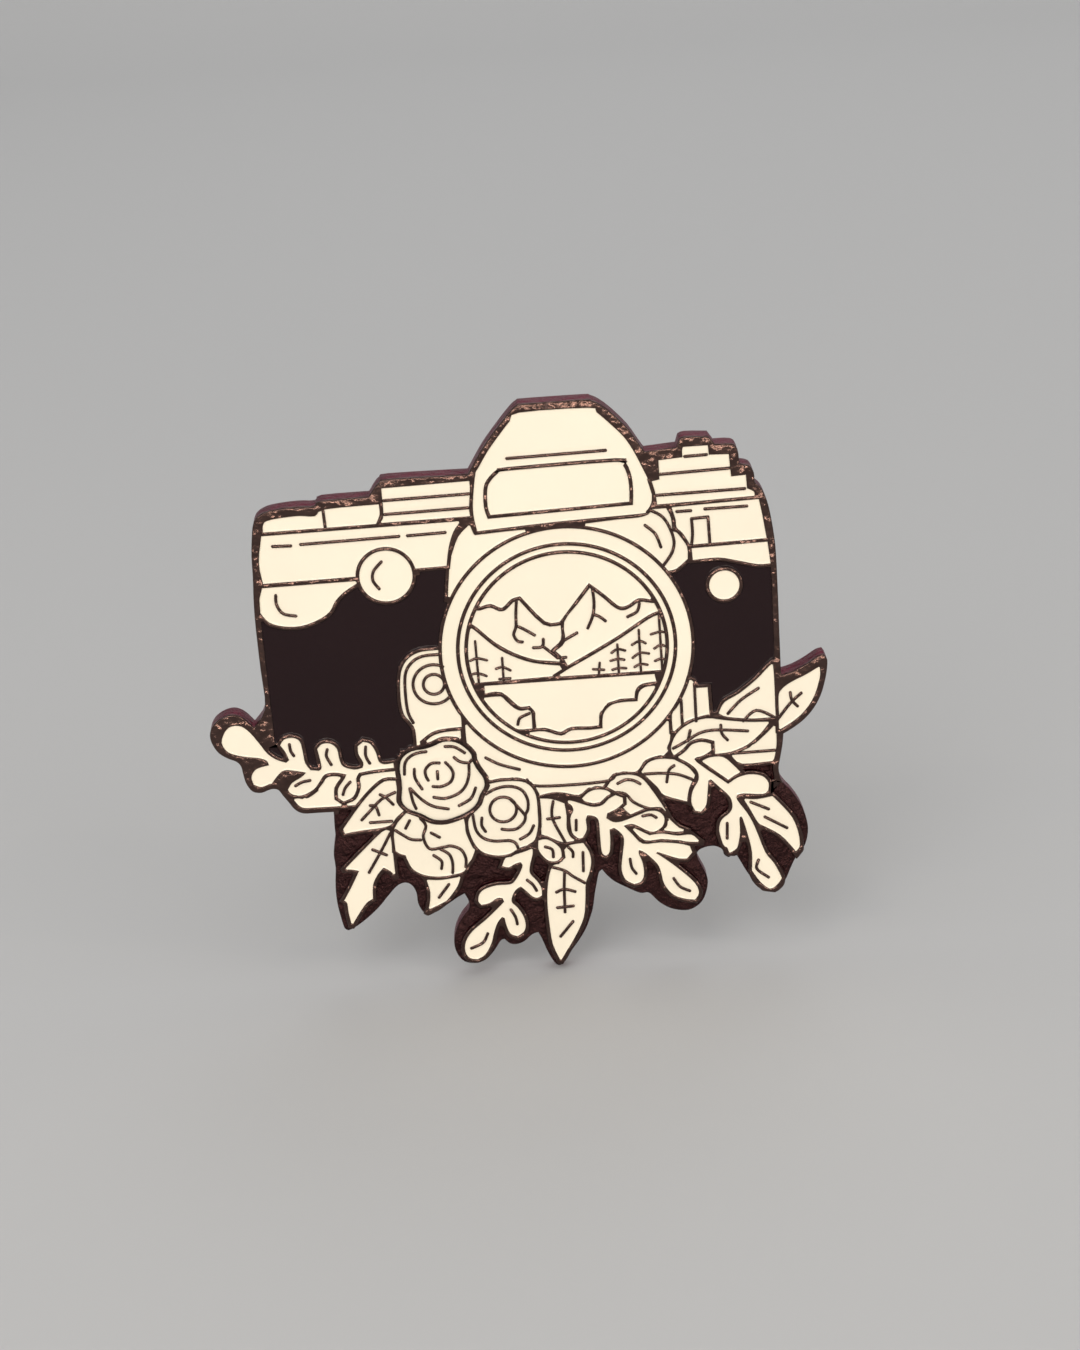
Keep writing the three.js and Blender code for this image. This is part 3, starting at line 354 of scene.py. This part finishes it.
def new_material(name, color, amount, patch_scale, grain_scale, grain_height):
    """A material whose Principled shader takes its colour and normal from the Mottle group."""
    material = bpy.data.materials.new(name)
    material.use_nodes = True
    nodes, links = material.node_tree.nodes, material.node_tree.links
    shader = nodes["Principled BSDF"]
    mottle = nodes.new("ShaderNodeGroup")
    mottle.node_tree = MOTTLE
    mottle.inputs["Color"].default_value = (*color, 1)
    mottle.inputs["Amount"].default_value = amount
    mottle.inputs["Patch Scale"].default_value = patch_scale
    mottle.inputs["Grain Scale"].default_value = grain_scale
    mottle.inputs["Grain Height"].default_value = grain_height
    links.new(mottle.outputs["Color"], shader.inputs["Base Color"])
    links.new(mottle.outputs["Normal"], shader.inputs["Normal"])
    return material, nodes, links, shader, mottle


def enamel_material(name, color, rough, amount, specular=0.5, coat=0.3):
    """Soft enamel: baked glossy paint with a faint orange-peel surface."""
    material, nodes, links, shader, mottle = new_material(name, color, amount, 170, 900, 0.12)
    shader.inputs["Roughness"].default_value = rough
    shader.inputs["IOR"].default_value = 1.52
    shader.inputs["Specular IOR Level"].default_value = specular
    shader.inputs["Coat Weight"].default_value = coat
    shader.inputs["Coat Roughness"].default_value = 0.08
    return material


def struck_metal_material():
    """Dark nickel plate: polished on the raised lines, grainy in the ground, with a painted red-brown reflection on the
    upright walls.
    """
    material, nodes, links, shader, mottle = new_material(
        "struck_metal", (0.085, 0.052, 0.045), 0.6, 700, 6000, 0.6)
    shader.inputs["Metallic"].default_value = 1
    coords = nodes.new("ShaderNodeTexCoord")
    place = nodes.new("ShaderNodeSeparateXYZ")
    facing = nodes.new("ShaderNodeSeparateXYZ")
    links.new(coords.outputs["Object"], place.inputs[0])
    links.new(coords.outputs["Normal"], facing.inputs[0])

    def ramp(source, low, high, start, end):
        node = nodes.new("ShaderNodeMapRange")
        for name, value in (("From Min", low), ("From Max", high), ("To Min", start), ("To Max", end)):
            node.inputs[name].default_value = value
        links.new(source, node.inputs["Value"])
        return node.outputs["Result"]

    def blend(factor, first, second):
        node = nodes.new("ShaderNodeMix")
        node.data_type = "RGBA"
        links.new(factor, node.inputs["Factor"])
        links.new(first, node.inputs["A"])
        node.inputs["B"].default_value = second
        return node.outputs["Result"]

    low = ramp(place.outputs["Y"], -0.00172, -0.0015, 0, 1)
    links.new(ramp(low, 0, 1, 0.17, 0.36), shader.inputs["Roughness"])
    links.new(ramp(low, 0, 1, 0.5, 3), mottle.inputs["Grain Height"])
    wave = nodes.new("ShaderNodeTexNoise")
    wave.inputs["Scale"].default_value = 1300
    wave.inputs["Detail"].default_value = 1.5
    links.new(coords.outputs["Object"], wave.inputs["Vector"])
    wavy = nodes.new("ShaderNodeBump")
    wavy.inputs["Strength"].default_value = 0.7
    wavy.inputs["Distance"].default_value = 0.0003
    links.new(wave.outputs["Fac"], wavy.inputs["Height"])
    links.new(mottle.outputs["Normal"], wavy.inputs["Normal"])
    links.new(wavy.outputs["Normal"], shader.inputs["Normal"])
    color = blend(low, mottle.outputs["Color"], (0.04, 0.018, 0.018, 1))
    # Painted reflection: the upright walls below the raised lines are tinted red-brown, as if they mirrored a red
    # surface.
    size = nodes.new("ShaderNodeMath")
    size.operation = "ABSOLUTE"
    links.new(facing.outputs["Y"], size.inputs[0])
    upright = ramp(size.outputs[0], 0.5, 0.15, 0, 1)
    wall = nodes.new("ShaderNodeMath")
    wall.operation = "MULTIPLY"
    links.new(upright, wall.inputs[0])
    links.new(low, wall.inputs[1])
    links.new(blend(wall.outputs[0], color, (0.16, 0.014, 0.036, 1)), shader.inputs["Base Color"])
    return material


def plated_material(name, color, rough):
    """Bright nickel plate on thin pressed sheet or drawn wire."""
    material, nodes, links, shader, mottle = new_material(name, color, 0.12, 400, 4000, 0.15)
    shader.inputs["Metallic"].default_value = 1
    shader.inputs["Roughness"].default_value = rough
    return material


cream_enamel = enamel_material("cream_enamel", (0.93, 0.85, 0.69), 0.2, 0.12)
black_enamel = enamel_material("black_enamel", (0.012, 0.004, 0.005), 0.16, 0.3, 0.2, 0)
struck_metal = struck_metal_material()
post_steel = plated_material("post_steel", (0.62, 0.6, 0.57), 0.22)
clutch_nickel = plated_material("clutch_nickel", (0.6, 0.58, 0.54), 0.28)

# ---- The struck plate ----
# One die-struck zinc plate, plated in dark nickel: the raised lines, the rim, the rough ground between
# the leaves and the flat back. Everything else is held in it or soldered to it.

PLATE_MM = 1.8
GROUND_MM = 1.4
ROLL_MM = 0.1
BACK_ROLL_MM = 0.12
LAND_FOOT_MM = 1.0

lands = [[smooth(loop) for loop in loops] for loops in level_regions("base_plate", -PLATE_MM)]
silhouette = [smooth(level_regions("base_plate", 0)[0][0])]
parts = [sheet(silhouette, 0, GROUND_MM, BACK_ROLL_MM)]
for loops in lands:
    parts.append(sheet(loops, LAND_FOOT_MM, PLATE_MM, ROLL_MM))

# ---- Marks in the metal ----
# Short raised lines struck in the same plate that end inside a fill: folds of the petals, veins of the
# leaves, tree trunks and cracks in the rock. Each is drawn as [(x, z), ...] in millimetres.

MARK_MM = 0.22
TREE_MM = 0.18
MARKS = {
    "camera": [
        [(-3.4, 14.4), (3.6, 14.5)],
        [(-20.4, 9.15), (-19.1, 9.1)],
        [(-18.4, 9.15), (-11.4, 9.25)],
        [(-10.8, 9.25), (-8.1, 9.3)],
        [(-12.8, 7.45), (-13.4, 6.8), (-13.5, 6.1), (-13.1, 5.45)],
        [(-20.5, 5.5), (-20.5, 4.8), (-20.1, 4.1), (-19.2, 3.85)],
        [(8.4, 9.65), (9.4, 9.65)],
        [(10.4, 9.7), (13.4, 9.7)],
        [(6.1, 8.8), (6.8, 8.1), (7.15, 7.1)],
        [(-6.4, -8.0), (-5.4, -8.6), (-4.0, -9.1)],
        [(-16.55, 10.3), (-16.6, 11.5)],
        [(-12.3, 11.95), (-6.2, 12.02)],
        [(-12.3, 10.93), (-6.2, 11.0)],
        [(7.3, 12.47), (12.3, 12.58)],
        [(7.0, 10.95), (13.3, 11.0)],
        [(9.15, 13.65), (10.7, 13.68)],
        [(9.35, 7.15), (9.45, 8.0), (9.42, 9.05)],
        [(9.42, 9.05), (10.6, 9.1)],
        [(10.6, 9.1), (10.65, 7.2)],
        [(7.25, 5.7), (7.9, 6.6), (8.1, 7.5), (7.8, 8.6), (7.3, 9.4), (6.5, 9.9)],
        [(-3.5, -9.95), (-2.6, -10.52), (2.1, -10.52), (3.0, -10.0)],
        [(12.5, -6.55), (13.5, -5.8), (14.9, -6.5)],
        [(8.05, -4.6), (8.05, -6.5)],
        [(9.07, -3.4), (9.07, -6.3)],
        [(11.6, -9.02), (14.8, -9.0)],
        [(-9.3, 0.2), (-10.4, 0.15), (-11.2, -0.25), (-11.72, -1.05), (-11.85, -2.4), (-11.78, -4.0), (-11.45, -4.9)],
    ],
    "large rose": [
        [(-12.4, -8.85), (-12.3, -8.0), (-11.9, -7.5), (-11.3, -7.25), (-10.7, -7.2)],
        [(-9.3, -6.9), (-8.6, -7.0), (-7.9, -7.5)],
        [(-8.7, -7.8), (-8.3, -8.15), (-7.7, -8.3), (-7.45, -8.1)],
        [(-7.65, -8.4), (-7.75, -9.4), (-8.1, -10.2), (-8.7, -10.7), (-9.6, -10.95), (-10.4, -10.8)],
        [(-9.8, -8.15), (-10.4, -8.15), (-10.85, -8.6), (-10.85, -9.1), (-10.7, -9.45)],
        [(-9.35, -8.15), (-9.0, -8.6), (-8.85, -9.1), (-9.1, -9.7), (-9.8, -10.0), (-10.4, -9.95)],
        [(-10, -8.8), (-10, -9.4)],
        [(-11.65, -8.5), (-11.65, -9.2), (-11.2, -10.1)],
        [(-12.05, -10.0), (-11.3, -10.9), (-10.5, -11.5), (-9.4, -11.8)],
        [(-12.1, -10.0), (-11.95, -11.0), (-11.75, -11.6)],
        [(-7.3, -10.3), (-7.7, -11.1), (-8.6, -11.6)],
    ],
    "small rose": [
        [(-6.6, -10.85), (-5.9, -10.5), (-5.1, -10.35), (-4.3, -10.5), (-3.8, -10.9), (-3.55, -11.6),
         (-3.6, -12.3), (-3.85, -12.7)],
        [(-4.9, -11.3), (-4.4, -11.9), (-3.9, -12.6)],
        [(-3.8, -12.7), (-3.9, -13.2), (-4.4, -13.7), (-5.0, -13.8), (-5.6, -13.7)],
        [(-7.0, -12.7), (-7.05, -13.3), (-6.8, -13.8)],
        [(-7.65, -12.4), (-7.5, -13.6), (-7.0, -14.3), (-6.2, -14.6), (-5.1, -14.65), (-4.65, -14.9), (-4.5, -15.3)],
        [(-3.25, -13.6), (-3.6, -14.2), (-4.3, -14.6)],
    ],
    "petals": [
        [(-12.3, -12.5), (-12.65, -13.1)],
        [(-11.5, -12.4), (-11.15, -13.0), (-11.4, -13.9), (-11.0, -14.85), (-10.0, -14.8), (-9.4, -14.75),
         (-8.7, -15.1), (-8.4, -15.8), (-8.45, -16.5)],
        [(-13.4, -13.2), (-12.9, -13.6), (-12.3, -14.0), (-11.6, -14.1)],
        [(-10.2, -14.95), (-9.6, -15.4), (-9.4, -16.1), (-9.45, -16.9)],
        [(-10.8, -13.6), (-10.2, -14.0)],
        [(-10.75, -15.4), (-10.2, -15.9), (-10.25, -16.5)],
    ],
    "left leaves": [
        [(-15.8, -12.2), (-15.0, -11.4), (-14.2, -10.65), (-13.2, -10.2)],
        [(-15.1, -11.1), (-14.7, -11.2), (-14.5, -11.9)],
        [(-14.3, -10.3), (-13.9, -10.55), (-13.4, -11.15)],
        [(-15.2, -12.45), (-13.6, -12.45)],
        [(-13.8, -13.4), (-14.6, -14.8), (-15.6, -16.4)],
        [(-15.2, -14.6), (-14.2, -15.1)],
        [(-9.8, -17.8), (-10.6, -18.8)],
        [(-20.55, -5.9), (-20.5, -6.4), (-20.3, -6.8)],
        [(-17.85, -6.5), (-17.95, -7.0), (-17.65, -7.7)],
        [(-15.05, -6.5), (-15.1, -7.2), (-14.85, -7.8)],
        [(-20.4, -9.15), (-19.9, -8.9), (-19.3, -8.8)],
        [(-16.4, -9.15), (-16.8, -9.6), (-17.0, -10.1)],
    ],
    "low leaves": [
        [(-4.0, -17.9), (-3.6, -18.3), (-3.35, -18.8)],
        [(-5.35, -20.2), (-5.05, -20.8), (-4.95, -21.4)],
        [(-7.2, -22.0), (-7.6, -22.7), (-8.5, -23.1)],
        [(-2.5, -15.35), (-2.0, -15.6), (-1.95, -16.2)],
        [(-2.1, -17.0), (-1.2, -17.35), (-0.6, -17.85), (0.25, -18.45)],
        [(-1.2, -17.5), (-1.3, -18.8), (-1.35, -20.7)],
        [(-1.9, -19.05), (-1.3, -18.85), (-0.5, -19.1)],
        [(-1.9, -20.3), (-0.7, -20.25)],
        [(-0.8, -21.5), (-1.8, -22.65)],
        [(-0.8, -15.5), (-0.5, -15.9), (-0.5, -16.3)],
        [(0.25, -16.0), (0.2, -17.5)],
        [(-1.7, -11.8), (-1.85, -12.6), (-1.75, -13.4), (-1.0, -15.1)],
        [(-2.2, -13.15), (-1.3, -13.1)],
        [(-0.1, -13.4), (-0.15, -14.2)],
        [(4.8, -13.45), (5.4, -13.4), (5.8, -13.65)],
        [(3.7, -16.8), (3.8, -17.5), (4.1, -18.0)],
        [(6.85, -18.6), (7.3, -19.3), (8.0, -19.7)],
        [(3.1, -10.75), (3.7, -10.5), (4.3, -10.6), (4.75, -10.9)],
        [(2.7, -11.4), (3.6, -11.6), (4.2, -12.3), (5.2, -12.85), (6.2, -13.0), (6.6, -13.9)],
        [(5.1, -10.15), (6.4, -10.18), (7.6, -10.38), (8.6, -10.85)],
        [(7.3, -9.65), (6.9, -10.0), (6.7, -10.9)],
    ],
    "right leaves": [
        [(11.0, -14.5), (10.95, -15.7)],
        [(13.2, -17.6), (13.05, -18.3), (13.9, -19.05)],
        [(12.8, -12.95), (14.1, -13.6)],
        [(13.8, -14.2), (15.4, -15.2)],
        [(7.3, -8.3), (8.3, -7.8), (9.3, -7.25), (10.5, -7.1), (12.8, -7.35)],
        [(8.6, -7.0), (8.4, -7.8)],
        [(10.85, -6.75), (10.9, -7.4), (11.3, -7.95)],
        [(11.4, -5.9), (12.4, -4.9), (13.7, -4.1)],
        [(15.1, -6.5), (16.0, -5.4), (16.8, -4.7)],
        [(16.0, -4.6), (16.1, -5.2), (16.5, -5.7)],
    ],
    "mountains": [
        [(-3.4, 3.8), (-3.5, 2.8), (-3.55, 1.9), (-3.75, 1.3), (-3.5, 0.8), (-3.15, 0.7)],
        [(-3.4, 1.9), (-2.9, 1.6), (-2.25, 1.15)],
        [(-1.65, 0.8), (-1.75, 0.25), (-2.4, 0.2)],
        [(-1.75, 0.3), (-1.1, -0.3), (-0.7, -0.7)],
        [(-0.9, -0.1), (-0.3, 0.5), (0.8, 1.1)],
        [(-0.7, -0.7), (-0.1, -0.7)],
        [(2.1, 4.3), (2.15, 3.2), (2.0, 2.3), (1.6, 1.4)],
        [(2.1, 2.4), (2.5, 2.2), (2.9, 1.85)],
        [(5.4, 3.0), (5.2, 2.4), (4.5, 2.05)],
        [(-3.0, -4.8), (-3.7, -5.1), (-3.9, -5.6)],
    ],
}
TREES = [
    [(-6.55, 1.0), (-6.5, -2.2)], [(-7.0, -0.45), (-6.5, -0.3), (-5.8, -0.5)],
    [(-7, -1.5), (-6.5, -1.45), (-5.9, -1.7)],
    [(-4.7, -0.4), (-4.7, -2.2)], [(-5.2, -1.2), (-4.7, -1.1), (-4.15, -1.4)], [(-5, -2), (-4.2, -2)],
    [(2.3, -1.3), (2.2, -2.2)], [(1.8, -1.75), (2.6, -1.85)],
    [(3.65, 0), (3.65, -2.2)], [(3.2, -0.6), (3.65, -0.35), (4.2, -0.5)],
    [(3.1, -1.2), (3.65, -1.1), (4.1, -1.2)], [(3.2, -1.9), (3.65, -1.8), (4.2, -1.85)],
    [(5.25, 1.0), (5.25, -2.2)], [(4.7, -0.1), (5.25, 0.15), (5.7, -0.05)],
    [(4.7, -1.1), (5.25, -0.75), (5.9, -0.85)], [(4.8, -1.8), (5.25, -1.6), (5.75, -1.7)],
    [(6.75, 2.0), (6.8, -2.5)], [(6.1, 0.6), (6.75, 0.75), (7.05, 0.7)],
    [(6.3, -0.5), (6.75, -0.25), (7.05, -0.35)], [(6.3, -1.45), (6.75, -1.3), (7.05, -1.4)],
]


def ring(x, z, radius, count=24):
    """Points (x + r cos a, z + r sin a) for equal steps of a."""
    return [(x + radius * math.cos(a), z + radius * math.sin(a)) for a in 2 * np.pi * np.arange(count) / count]


for lines in MARKS.values():
    for line in lines:
        parts.append(ridge(line, MARK_MM, GROUND_MM, PLATE_MM))
for line in TREES:
    parts.append(ridge(line, TREE_MM, GROUND_MM, PLATE_MM))
parts.append(ridge(ring(-9.75, -2.05, 1.5)[4:22], MARK_MM, GROUND_MM, PLATE_MM))
for x, z, radius in ((-5.4, -12.15, 0.98), (-9.75, -2.05, 0.76)):
    parts.append(ridge(ring(x, z, radius), MARK_MM, GROUND_MM, PLATE_MM, closed=True))

plate = outward(mesh_object("struck_plate", *join(parts), [struck_metal]))
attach(plate, "body")
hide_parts("base_plate")

# ---- The enamel fills ----
# Paint poured in each pocket and baked. It dries lower in the middle and stays up against the metal,
# so each fill is a flat skin with a small hollow curve up to the lines around it.

POCKET_MM = 1.25
ENAMEL_MM = 1.68
CREEP_MM = 0.1
CREEP_HIGH_MM = 0.07


def fill_surface(loops):
    """A skin over a pocket: flat at ENAMEL_MM, with an edge that climbs the wall.

    At a distance s from the wall, up to CREEP_MM, the height is
    ENAMEL_MM + CREEP_HIGH_MM (1 - s / CREEP_MM)^2.
    """
    flat = sheet(loops, ENAMEL_MM - 0.2, ENAMEL_MM, 0.001)
    parts = [flat]
    for index, loop in enumerate(loops):
        turn = 1 if area(loop) > 0 else -1
        if index > 0:
            turn = -turn
        ahead = np.roll(loop, -1, 0) - loop
        ahead /= np.linalg.norm(ahead, axis=1)[:, None] + 1e-9
        along = ahead + np.roll(ahead, 1, 0)
        along /= np.linalg.norm(along, axis=1)[:, None] + 1e-9
        inward = np.stack([-along[:, 1], along[:, 0]], 1) * turn
        points, faces = [], []
        steps = np.linspace(0, 1, 5)
        for s in steps:
            high = ENAMEL_MM + CREEP_HIGH_MM * (1 - s) ** 2 + 0.0015
            for p in loop + inward * (s * CREEP_MM - 0.02):
                points.append((p[0] * MM, -high * MM, p[1] * MM))
        count = len(loop)
        for i in range(len(steps) - 1):
            for j in range(count):
                k = (j + 1) % count
                face = (i * count + j, i * count + k, (i + 1) * count + k, (i + 1) * count + j)
                faces.append(face if turn > 0 else face[::-1])
        parts.append((points, faces))
    return join(parts)


BLACK = ("enamel_grip_left", "enamel_grip_right")
boxes = {}
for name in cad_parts:
    if name.startswith("enamel_"):
        low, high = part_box(name)
        boxes[name] = np.array([low.x, low.z, high.x, high.z]) / MM

left_over = []
for loops in level_regions("base_plate", -POCKET_MM):
    outer = loops[0]
    here = np.concatenate([outer.min(0), outer.max(0)])
    best = min(boxes, key=lambda name: np.abs(boxes[name] - here).max()) if boxes else None
    smoothed = [smooth(loop) for loop in loops]
    if best is None or np.abs(boxes[best] - here).max() > 0.2:
        left_over.append((here, smoothed))
        continue
    del boxes[best]
    black = best in BLACK
    fill = mesh_object(best.replace("enamel", "fill"), *fill_surface(smoothed),
                       [black_enamel if black else cream_enamel])
    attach(fill, "body")
    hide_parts(best)

# ---- The smallest fills ----
# Skins of the same paint in the small pockets: black ones where the grip shows between the leaves of the
# branches, cream ones everywhere else.

BLACK_PLACES = [(-22.5, -8.0, -20.8, -5.0)]
for material, slot, wanted in ((black_enamel, "black_enamel", True), (cream_enamel, "cream_enamel", False)):
    skins = []
    for here, loops in left_over:
        x, z = (here[0] + here[2]) / 2, (here[1] + here[3]) / 2
        black = any(a < x < c and b < z < d for a, b, c, d in BLACK_PLACES)
        if black == wanted:
            skins.append(fill_surface(loops))
    if skins:
        skin = mesh_object("small_fills_" + slot, *join(skins), [material])
        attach(skin, "body")

# ---- The posts ----
# Two drawn nickel pins, each with a flat nail head soldered to the back and a notch near its point that
# the clutch snaps into.

POSTS = {"left": (-13.0, 2.0), "right": (6.0, 2.0)}
for side, (x, z) in POSTS.items():
    profile = [(0.001, 0.0), (2.55, 0.0), (2.6, 0.06), (2.58, 0.24), (2.5, 0.33), (2.3, 0.37), (0.95, 0.42),
               (0.75, 0.5), (0.6, 0.68), (0.55, 0.95), (0.55, 6.45), (0.53, 6.6), (0.45, 6.72), (0.43, 6.8),
               (0.45, 6.88), (0.53, 7.0), (0.55, 7.15), (0.55, 7.85), (0.5, 8.15), (0.36, 8.55),
               (0.2, 8.85), (0.08, 8.97), (0.001, 9.0)]
    post = outward(mesh_object("pin_post_" + side, *lathe(profile, x, z, 48), [post_steel]))
    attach(post, "body")
    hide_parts("post_" + side)

# ---- The clutch cups ----
# Each is a round cup pressed from thin sheet, its edge curled over to hold the spring strip, with a hole
# in its floor for the post.

for side, (x, z) in POSTS.items():
    roll = [(5.35 + 0.35 * math.sin(a), 1.85 - 0.35 * math.cos(a)) for a in np.radians(np.arange(0, 91, 15))]
    lip = [(5.35 + 0.35 * math.cos(a), 3.05 + 0.35 * math.sin(a)) for a in np.radians(np.arange(0, 91, 15))]
    curl = [(5.15 + 0.2 * math.cos(a), 3.2 + 0.2 * math.sin(a)) for a in np.radians(np.arange(90, 181, 30))]
    profile = ([(0.8, 1.55), (0.88, 1.5), (3.2, 1.5), (3.3, 1.52), (3.4, 1.5)] + roll + lip + curl
               + [(4.95, 3.05), (5.02, 3.0), (5.3, 3.0), (5.3, 2.05), (5.2, 1.92), (5.05, 1.9), (0.9, 1.9), (0.8, 1.85),
                  (0.8, 1.55)])
    cup = outward(mesh_object("cup_" + side, *lathe(profile, x, z), [clutch_nickel]))
    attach(cup, "clutch_" + side)
    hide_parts("clutch_cup_" + side)

# ---- The spring strips and the wings ----
# A flat strip lies under each cup's curled edge. Two bent wings stand up from it; pinching them together
# spreads their jaws off the post.

for side in POSTS:
    for name in ("clutch_spring_", "clutch_wing_upper_", "clutch_wing_lower_"):
        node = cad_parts[name + side]
        node.data.materials.clear()
        node.data.materials.append(clutch_nickel)

# ---- Floor, light and camera ----
# A plain pale floor that curves up behind, one large soft light from above and two weaker ones.


def floor_sweep():
    """A floor at z = FLOOR that turns up through a quarter circle of radius R to a wall behind the pin."""
    floor_z = cad_low.z - 0.0002
    radius, far, wide = 0.35, 0.5, 1.6
    rows = [(-1.5, floor_z), (far, floor_z)]
    rows += [(far + radius * math.sin(a), floor_z + radius * (1 - math.cos(a))) for a in np.radians(range(6, 91, 6))]
    rows.append((far + radius, floor_z + 1.6))
    points = [(x, y, z) for y, z in rows for x in (-wide, wide)]
    faces = [(2 * i, 2 * i + 1, 2 * i + 3, 2 * i + 2) for i in range(len(rows) - 1)]
    paper = bpy.data.materials.new("paper")
    paper.use_nodes = True
    shader = paper.node_tree.nodes["Principled BSDF"]
    shader.inputs["Base Color"].default_value = (0.56, 0.56, 0.56, 1)
    shader.inputs["Roughness"].default_value = 0.9
    return mesh_object("floor", points, faces, [paper])


floor_sweep()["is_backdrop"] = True


def soft_light(name, place, target, size, power, color=(1, 1, 1), high=None):
    """A soft light at a place, turned to face a target: square, or as wide as size and as high as high."""
    lamp = bpy.data.lights.new(name, "AREA")
    lamp.size = size
    if high:
        lamp.shape = "RECTANGLE"
        lamp.size_y = high
    lamp.energy = power
    lamp.color = color
    holder = bpy.data.objects.new(name, lamp)
    holder.location = place
    holder.rotation_euler = (Vector(target) - Vector(place)).to_track_quat("-Z", "Y").to_euler()
    bpy.context.scene.collection.objects.link(holder)


soft_light("key", (-0.2, -0.5, 0.4), (0, 0, 0), 0.35, 1.0)
soft_light("fill", (0.5, -0.5, 0.25), (0, 0, 0), 0.4, 0.35)
soft_light("back", (0.1, 0.5, 0.5), (0, 0, 0), 0.4, 0.6)
# A low strip light and small bright lamps give the polished lines their glints.
soft_light("strip", (0.02, -0.55, 0.035), (0, 0, 0), 0.3, 0.75, (1, 0.88, 0.74), 0.04)
GLINTS = [(-0.3, -0.3, 0.4), (0.33, -0.25, 0.35), (-0.1, -0.15, 0.5)]
GLINTS += [(x, -0.5, z) for x, z in ((-0.32, 0.02), (-0.2, 0.12), (-0.06, 0.03), (0.07, 0.1), (0.2, 0.02), (0.34, 0.1))]
for index, place in enumerate(GLINTS):
    soft_light(f"glint_{index}", place, (0, 0, 0), 0.025, 0.055, (1, 0.86, 0.7))

world = bpy.data.worlds.new("studio")
world.use_nodes = True
world.node_tree.nodes["Background"].inputs["Color"].default_value = (1, 1, 1, 1)
world.node_tree.nodes["Background"].inputs["Strength"].default_value = 0.62
bpy.context.scene.world = world
bpy.context.scene.view_settings.view_transform = "Standard"

# The camera looks down by 19.5 degrees, with the picture turned in its plane by 2.1 degrees.
PIXEL_MM = 0.0729
across = Vector((math.cos(math.radians(2.1)), 0, math.sin(math.radians(2.1))))
down = Vector((math.sin(math.radians(2.1)), 0, -math.cos(math.radians(2.1))))
tilt, roll_angle = math.radians(19.5), math.radians(6)
toward = (math.cos(tilt) * Vector((0, -1, 0)) - math.sin(tilt) * down).normalized()
level = (down - toward * down.dot(toward)).normalized()
right = math.cos(roll_angle) * across + math.sin(roll_angle) * level
right = (right - toward * right.dot(toward)).normalized()
up = toward.cross(right)
target = Vector((0, -PLATE_MM * MM, 0)) - right * 26.5 * PIXEL_MM * MM - up * 26.2 * PIXEL_MM * MM
lens = bpy.data.cameras.new("camera")
lens.lens = 100
lens.sensor_width = 36
lens.sensor_fit = "HORIZONTAL"
lens.clip_start = 0.001
camera = bpy.data.objects.new("camera", lens)
distance = 1067 * PIXEL_MM * MM * lens.lens / lens.sensor_width
turn = Matrix((right, up, toward)).transposed().to_4x4()
camera.matrix_world = Matrix.Translation(target + toward * distance) @ turn
bpy.context.scene.collection.objects.link(camera)
bpy.context.scene.camera = camera

low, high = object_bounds()
